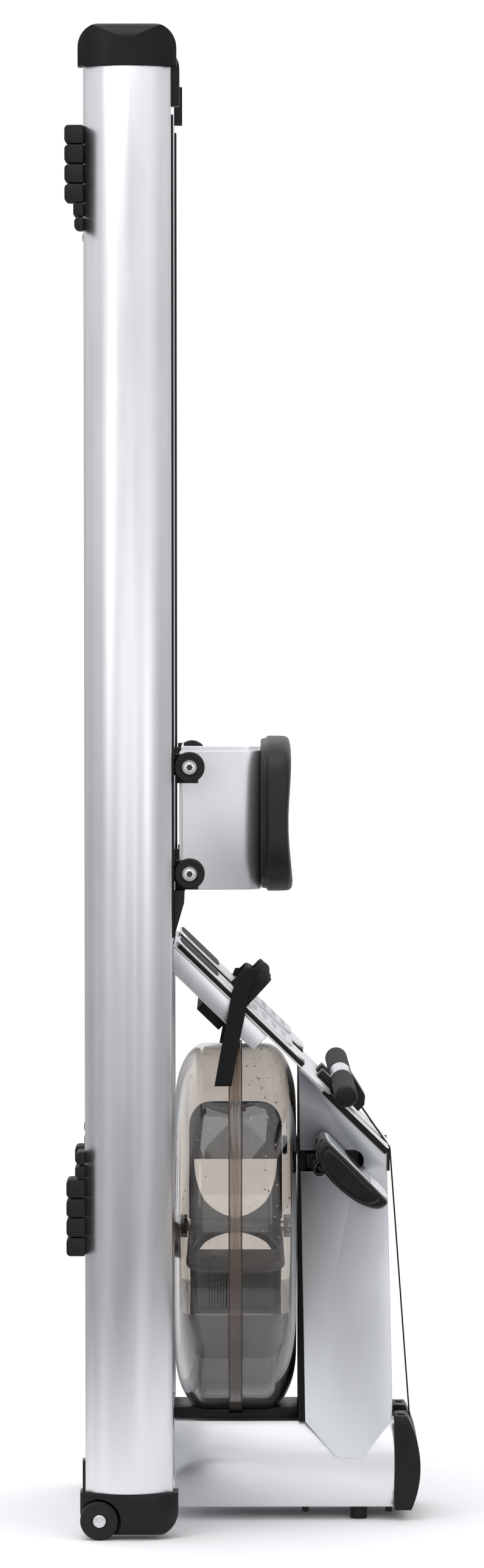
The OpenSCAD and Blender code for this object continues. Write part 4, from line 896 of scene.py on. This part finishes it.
cord_x, spool_path, turn_path = 165.4, 24.3, 20.3
turn_y, turn_z, anchor_z = -44.6, 190.0, 532.2
a = np.radians(np.linspace(60, 0, 9))
from_spool = np.stack([0 * a + cord_x, -spool_path * np.cos(a), drum[1] + spool_path * np.sin(a)], -1)
a = np.radians(np.linspace(0, 180, 25))
round_turn = np.stack([0 * a + cord_x, turn_y + turn_path * np.cos(a), turn_z - turn_path * np.sin(a)], -1)
bungee_line = np.concatenate([from_spool, round_turn, [[cord_x, turn_y - turn_path, anchor_z]]])
points, uvs = cord(bungee_line, cord_r)
surface("bungee", [(points, False)], "frame", "webbing", ("recoil_bungee",), uvs, flats=False)
print("drive strap", length(strap_line), "mm and bungee", length(bungee_line), "mm")

# %% [markdown]
# ## Moulded and cut pieces
# The monitor, the black strips along the deck cover's edges, the toe treads and the black sheets under
# the heel plates are outlines carried through a thickness. The cover strips are painted shade under the
# cover's edges, and the heel sheets are a painted shadow in the heel plates' slots. An outline starts as
# a few corners, corner cutting rounds it, and rings drawn in towards its middle close both ends, so that
# no edge is left sharp.

# %% Outlines with a thickness
def chaikin(line, rounds=3):
    """Corner cutting: every side of a closed outline keeps its middle half."""
    line = np.array(line, float)
    for _ in range(rounds):
        after = np.roll(line, -1, axis=0)
        line = np.stack([0.75 * line + 0.25 * after, 0.25 * line + 0.75 * after], 1).reshape(-1, 2)
    return line


def pillow(outline, stations):
    """Rows of (p, q, t): the outline scaled about its middle at each station (t, scale)."""
    t, scale = np.array(stations, float).T
    middle = (outline.max(0) + outline.min(0)) / 2
    flat = middle + scale[:, None, None] * (outline[None] - middle)
    return np.concatenate([flat, np.broadcast_to(t[:, None, None], flat.shape[:2] + (1,))], -1)


def slab(low, high, edge, shrink):
    """Stations of a slab whose rims are drawn in by shrink over the length edge."""
    return [(low, 0), (low, 1 - shrink), (low + edge * 0.3, 1 - shrink * 0.3), (low + edge, 1),
            (high - edge, 1), (high - edge * 0.3, 1 - shrink * 0.3), (high, 1 - shrink), (high, 0)]


def plate(low, high, stations):
    """A rectangle with small round corners, split near them so that cutting keeps its sides straight."""
    (p, q), (r, t) = low, high
    m = min(r - p, t - q) * 0.12
    corners = [(p + m, q), (r - m, q), (r, q + m), (r, t - m),
               (r - m, t), (p + m, t), (p, t - m), (p, q + m)]
    return pillow(chaikin(corners), slab(*stations))


# %% Monitor
hinge_x, hinge_z, near_end_y = 104, 513, -241.8


def monitor_place(points):
    """(a down the face, b behind it, c from the near end) to the room, by the face's 45 degrees."""
    a, b, c = points[..., 0] - 29.5, points[..., 1] + 39, points[..., 2]
    half = math.sqrt(0.5)
    return np.stack([hinge_x + (a + b) * half, c + near_end_y, hinge_z + (b - a) * half], -1)


face_side = [(-0.5, -11), (0, -4), (5, -0.7), (40, -0.7), (85, -0.7), (124, -0.7), (130, -3), (130.5, -11)]
deep_back = [(127, -19), (118, -26), (102, -33), (80, -37), (56, -38.5), (34, -36.5), (16, -31), (4, -22)]
shallow_back = [(127, -19), (118, -26), (102, -33), (80, -35), (58, -32), (36, -28), (17, -23), (4, -17)]
pod_stations = [(1.0, 0), (1.0, 0.5), (0.7, 0.72), (1.9, 0.745), (1.9, 0.765), (0.5, 0.79), (0.8, 0.86),
                (2.2, 0.93), (5, 0.975), (10, 1), (42, 1), (46, 1), (90, 1), (94, 1), (126, 1),
                (131, 0.975), (133.8, 0.93), (135.2, 0.86), (136, 0.75), (136, 0)]
deep, shallow = (pillow(chaikin(face_side + back), pod_stations) for back in (deep_back, shallow_back))
arm_room = (np.abs(deep[..., 2:] - 68) <= 22.5) * 1.0
pod = (1 - arm_room) * deep + arm_room * shallow
pod_grids = [(monitor_place(pod), False)]
lug_outline = chaikin([(21.5, -40), (37.5, -40), (41, -26), (18, -26)], 2)
for start in (18, 88):
    pod_grids.append((monitor_place(pillow(lug_outline, slab(start, start + 30, 1, 0.05))), False))
    low, high = -near_end_y - start - 30, -near_end_y - start
    eye_line = [[low, 5.1], [low, 9], [high, 9], [high, 5.1]]
    pod_grids.append(wheel_grid(eye_line, (hinge_x, 0, hinge_z), sides=48, side=-1))
surface("monitor_pod", pod_grids, "monitor", "gloss_black", ("monitor_case",))
face = monitor_place(plate((3, 4), (127, 132), (-1.1, -0.3, 0.3, 0.006))[..., [0, 2, 1]])
surface("monitor_face", [(face, False)], "monitor", "light_sheet")
print("monitor:", len(pod_grids), "parts in its pod and a face")

# %% Painted shade strips, toe treads and painted slot shadow sheets
def deck_place(points):
    """(u down the deck, w above it, y) to the room."""
    return on_deck(*np.moveaxis(points, -1, 0))


# Black strips on the deck cover's edges and its front fold: painted shade where the cover's flanges lie in
# shadow.
painted_shade_strips = []
for side in (-1, 1):
    edge_strip = plate((302, -8.2), (427, 0.4), (103.2, 104.2, 0.3, 0.03)) * (1, 1, side)
    fold_strip = plate((201.2, 500), (205.2, 532), (103.2, 104.2, 0.3, 0.03)) * (1, 1, side)
    painted_shade_strips += [(deck_place(edge_strip), False), (fold_strip[..., [0, 2, 1]], False)]
surface("cover_edge_painted_shade", painted_shade_strips, "frame", "matte_black")
for name, side in (("near_toe_tread", -1), ("far_toe_tread", 1)):
    tread = plate((5, 57), (79.5, 169), (12.0, 12.9, 0.3, 0.004))[..., [0, 2, 1]] * (1, 1, side)
    surface(name, [(deck_place(tread), False)], "frame", "black_rubber")
# Black sheets under the heel plates: a painted shadow that makes the plates' slots dark.
for body, side in (("near_heel", -1), ("far_heel", 1)):
    slot_shadow_sheet = plate((114, 57), (220, 169), (12.02, 12.28, 0.05, 0.002))[..., [0, 2, 1]] * (1, 1, side)
    surface(body + "_pad", [(deck_place(slot_shadow_sheet), False)], body, "matte_black")
print("trim, toe treads and heel pads done")

# %% [markdown]
# ### Level gauge
# A strip of fine lines on the near side of the tank shows how full it is. The lines follow the
# shell's curve, one beside the other, and each has its plain number from 13 to 19 half way up. The
# numbers are drawn with the seven strokes of a pocket calculator, turned as the machine is.

# %% Gauge lines and numbers
strokes = {"1": "bc", "3": "abcdg", "4": "bcfg", "5": "acdfg", "6": "acdefg", "7": "abc", "8": "abcdefg",
           "9": "abcdfg"}
ends = {"a": ((0, 2), (1, 2)), "b": ((1, 2), (1, 1)), "c": ((1, 1), (1, 0)), "d": ((0, 0), (1, 0)),
        "e": ((0, 1), (0, 0)), "f": ((0, 2), (0, 1)), "g": ((0, 1), (1, 1))}
line_x, line_step, line_low, line_high, number_z = -50.5, 4.0, 322.0, 371.0, 350.0
thin, thick, pen, tall, wide, digit_step = 0.55, 1.3, 0.28, 0.8, 1.2, 1.9


def on_shell(x, z):
    """Places on the near side of the tank's outer skin, 0.12 mm above it."""
    return np.stack([x, -np.sqrt((rim_r + 0.12) ** 2 - (z - tank_middle[2]) ** 2), z], -1)


def ink(start, end, width):
    """A flat line between two points (x, z) of the skin."""
    places = on_shell(*np.linspace(start, end, 9).T)
    outwards = unit((places - tank_middle) * (0, 1, 1))
    points, _ = band(places, unit(np.cross(unit(np.gradient(places, axis=0)), outwards)), width, 0.12)
    return points, False


gauge = []
levels = range(13, 20)
for index, number in enumerate(levels):
    x = line_x + line_step * index
    gauge.append(ink((x, line_low), (x, line_high), thick if number == levels[-1] else thin))
    for place, digit in enumerate(str(number)):
        foot_x, foot_z = x - digit_step, number_z - digit_step * place
        for stroke in strokes[digit]:
            start, end = [(foot_x + tall * up, foot_z - wide * aside) for aside, up in ends[stroke]]
            gauge.append(ink(start, end, pen))
surface("level_gauge", gauge, "frame", "matte_black", flats=False)
print("gauge:", len(levels), "lines and their numbers")

# %% [markdown]
# ## Floor
# One plain pale floor that catches the soft shadow under the feet. It is a disc that fades out
# towards its rim, so the room has no horizon and the metal doesn't mirror an endless white plane.

# %% Floor
def floor_disc(radius):
    """Circles round the machine's middle, from a point out to the rim."""
    r = np.linspace(0, 1, 24)[:, None]
    a = np.linspace(0, 2 * np.pi, 96, endpoint=False)[None, :]
    return np.stack([radius * r * np.cos(a), radius * r * np.sin(a), -0.4 + 0 * r * a], -1)


floor_points = floor_disc(2200.0)
floor_mesh = bpy.data.meshes.new("floor")
floor_mesh.from_pydata((floor_points.reshape(-1, 3) * MM).tolist(), [],
                       grid_faces(floor_points, False)[:, ::-1].tolist())
floor = bpy.data.objects.new("floor", floor_mesh)
scene.collection.objects.link(floor)
tree, shader = start_finish("studio_floor", (0.93, 0.93, 0.935), 0.85)
from_middle = make(tree, "VectorMath")
from_middle.operation = "LENGTH"
fill(tree, from_middle.inputs[0], own_place(tree))
feed(tree, shader, Alpha=spread(tree, from_middle.outputs["Value"], 0.42, 0.95, 1.0, 0.0))
floor_mesh.materials.append(finishes["studio_floor"])
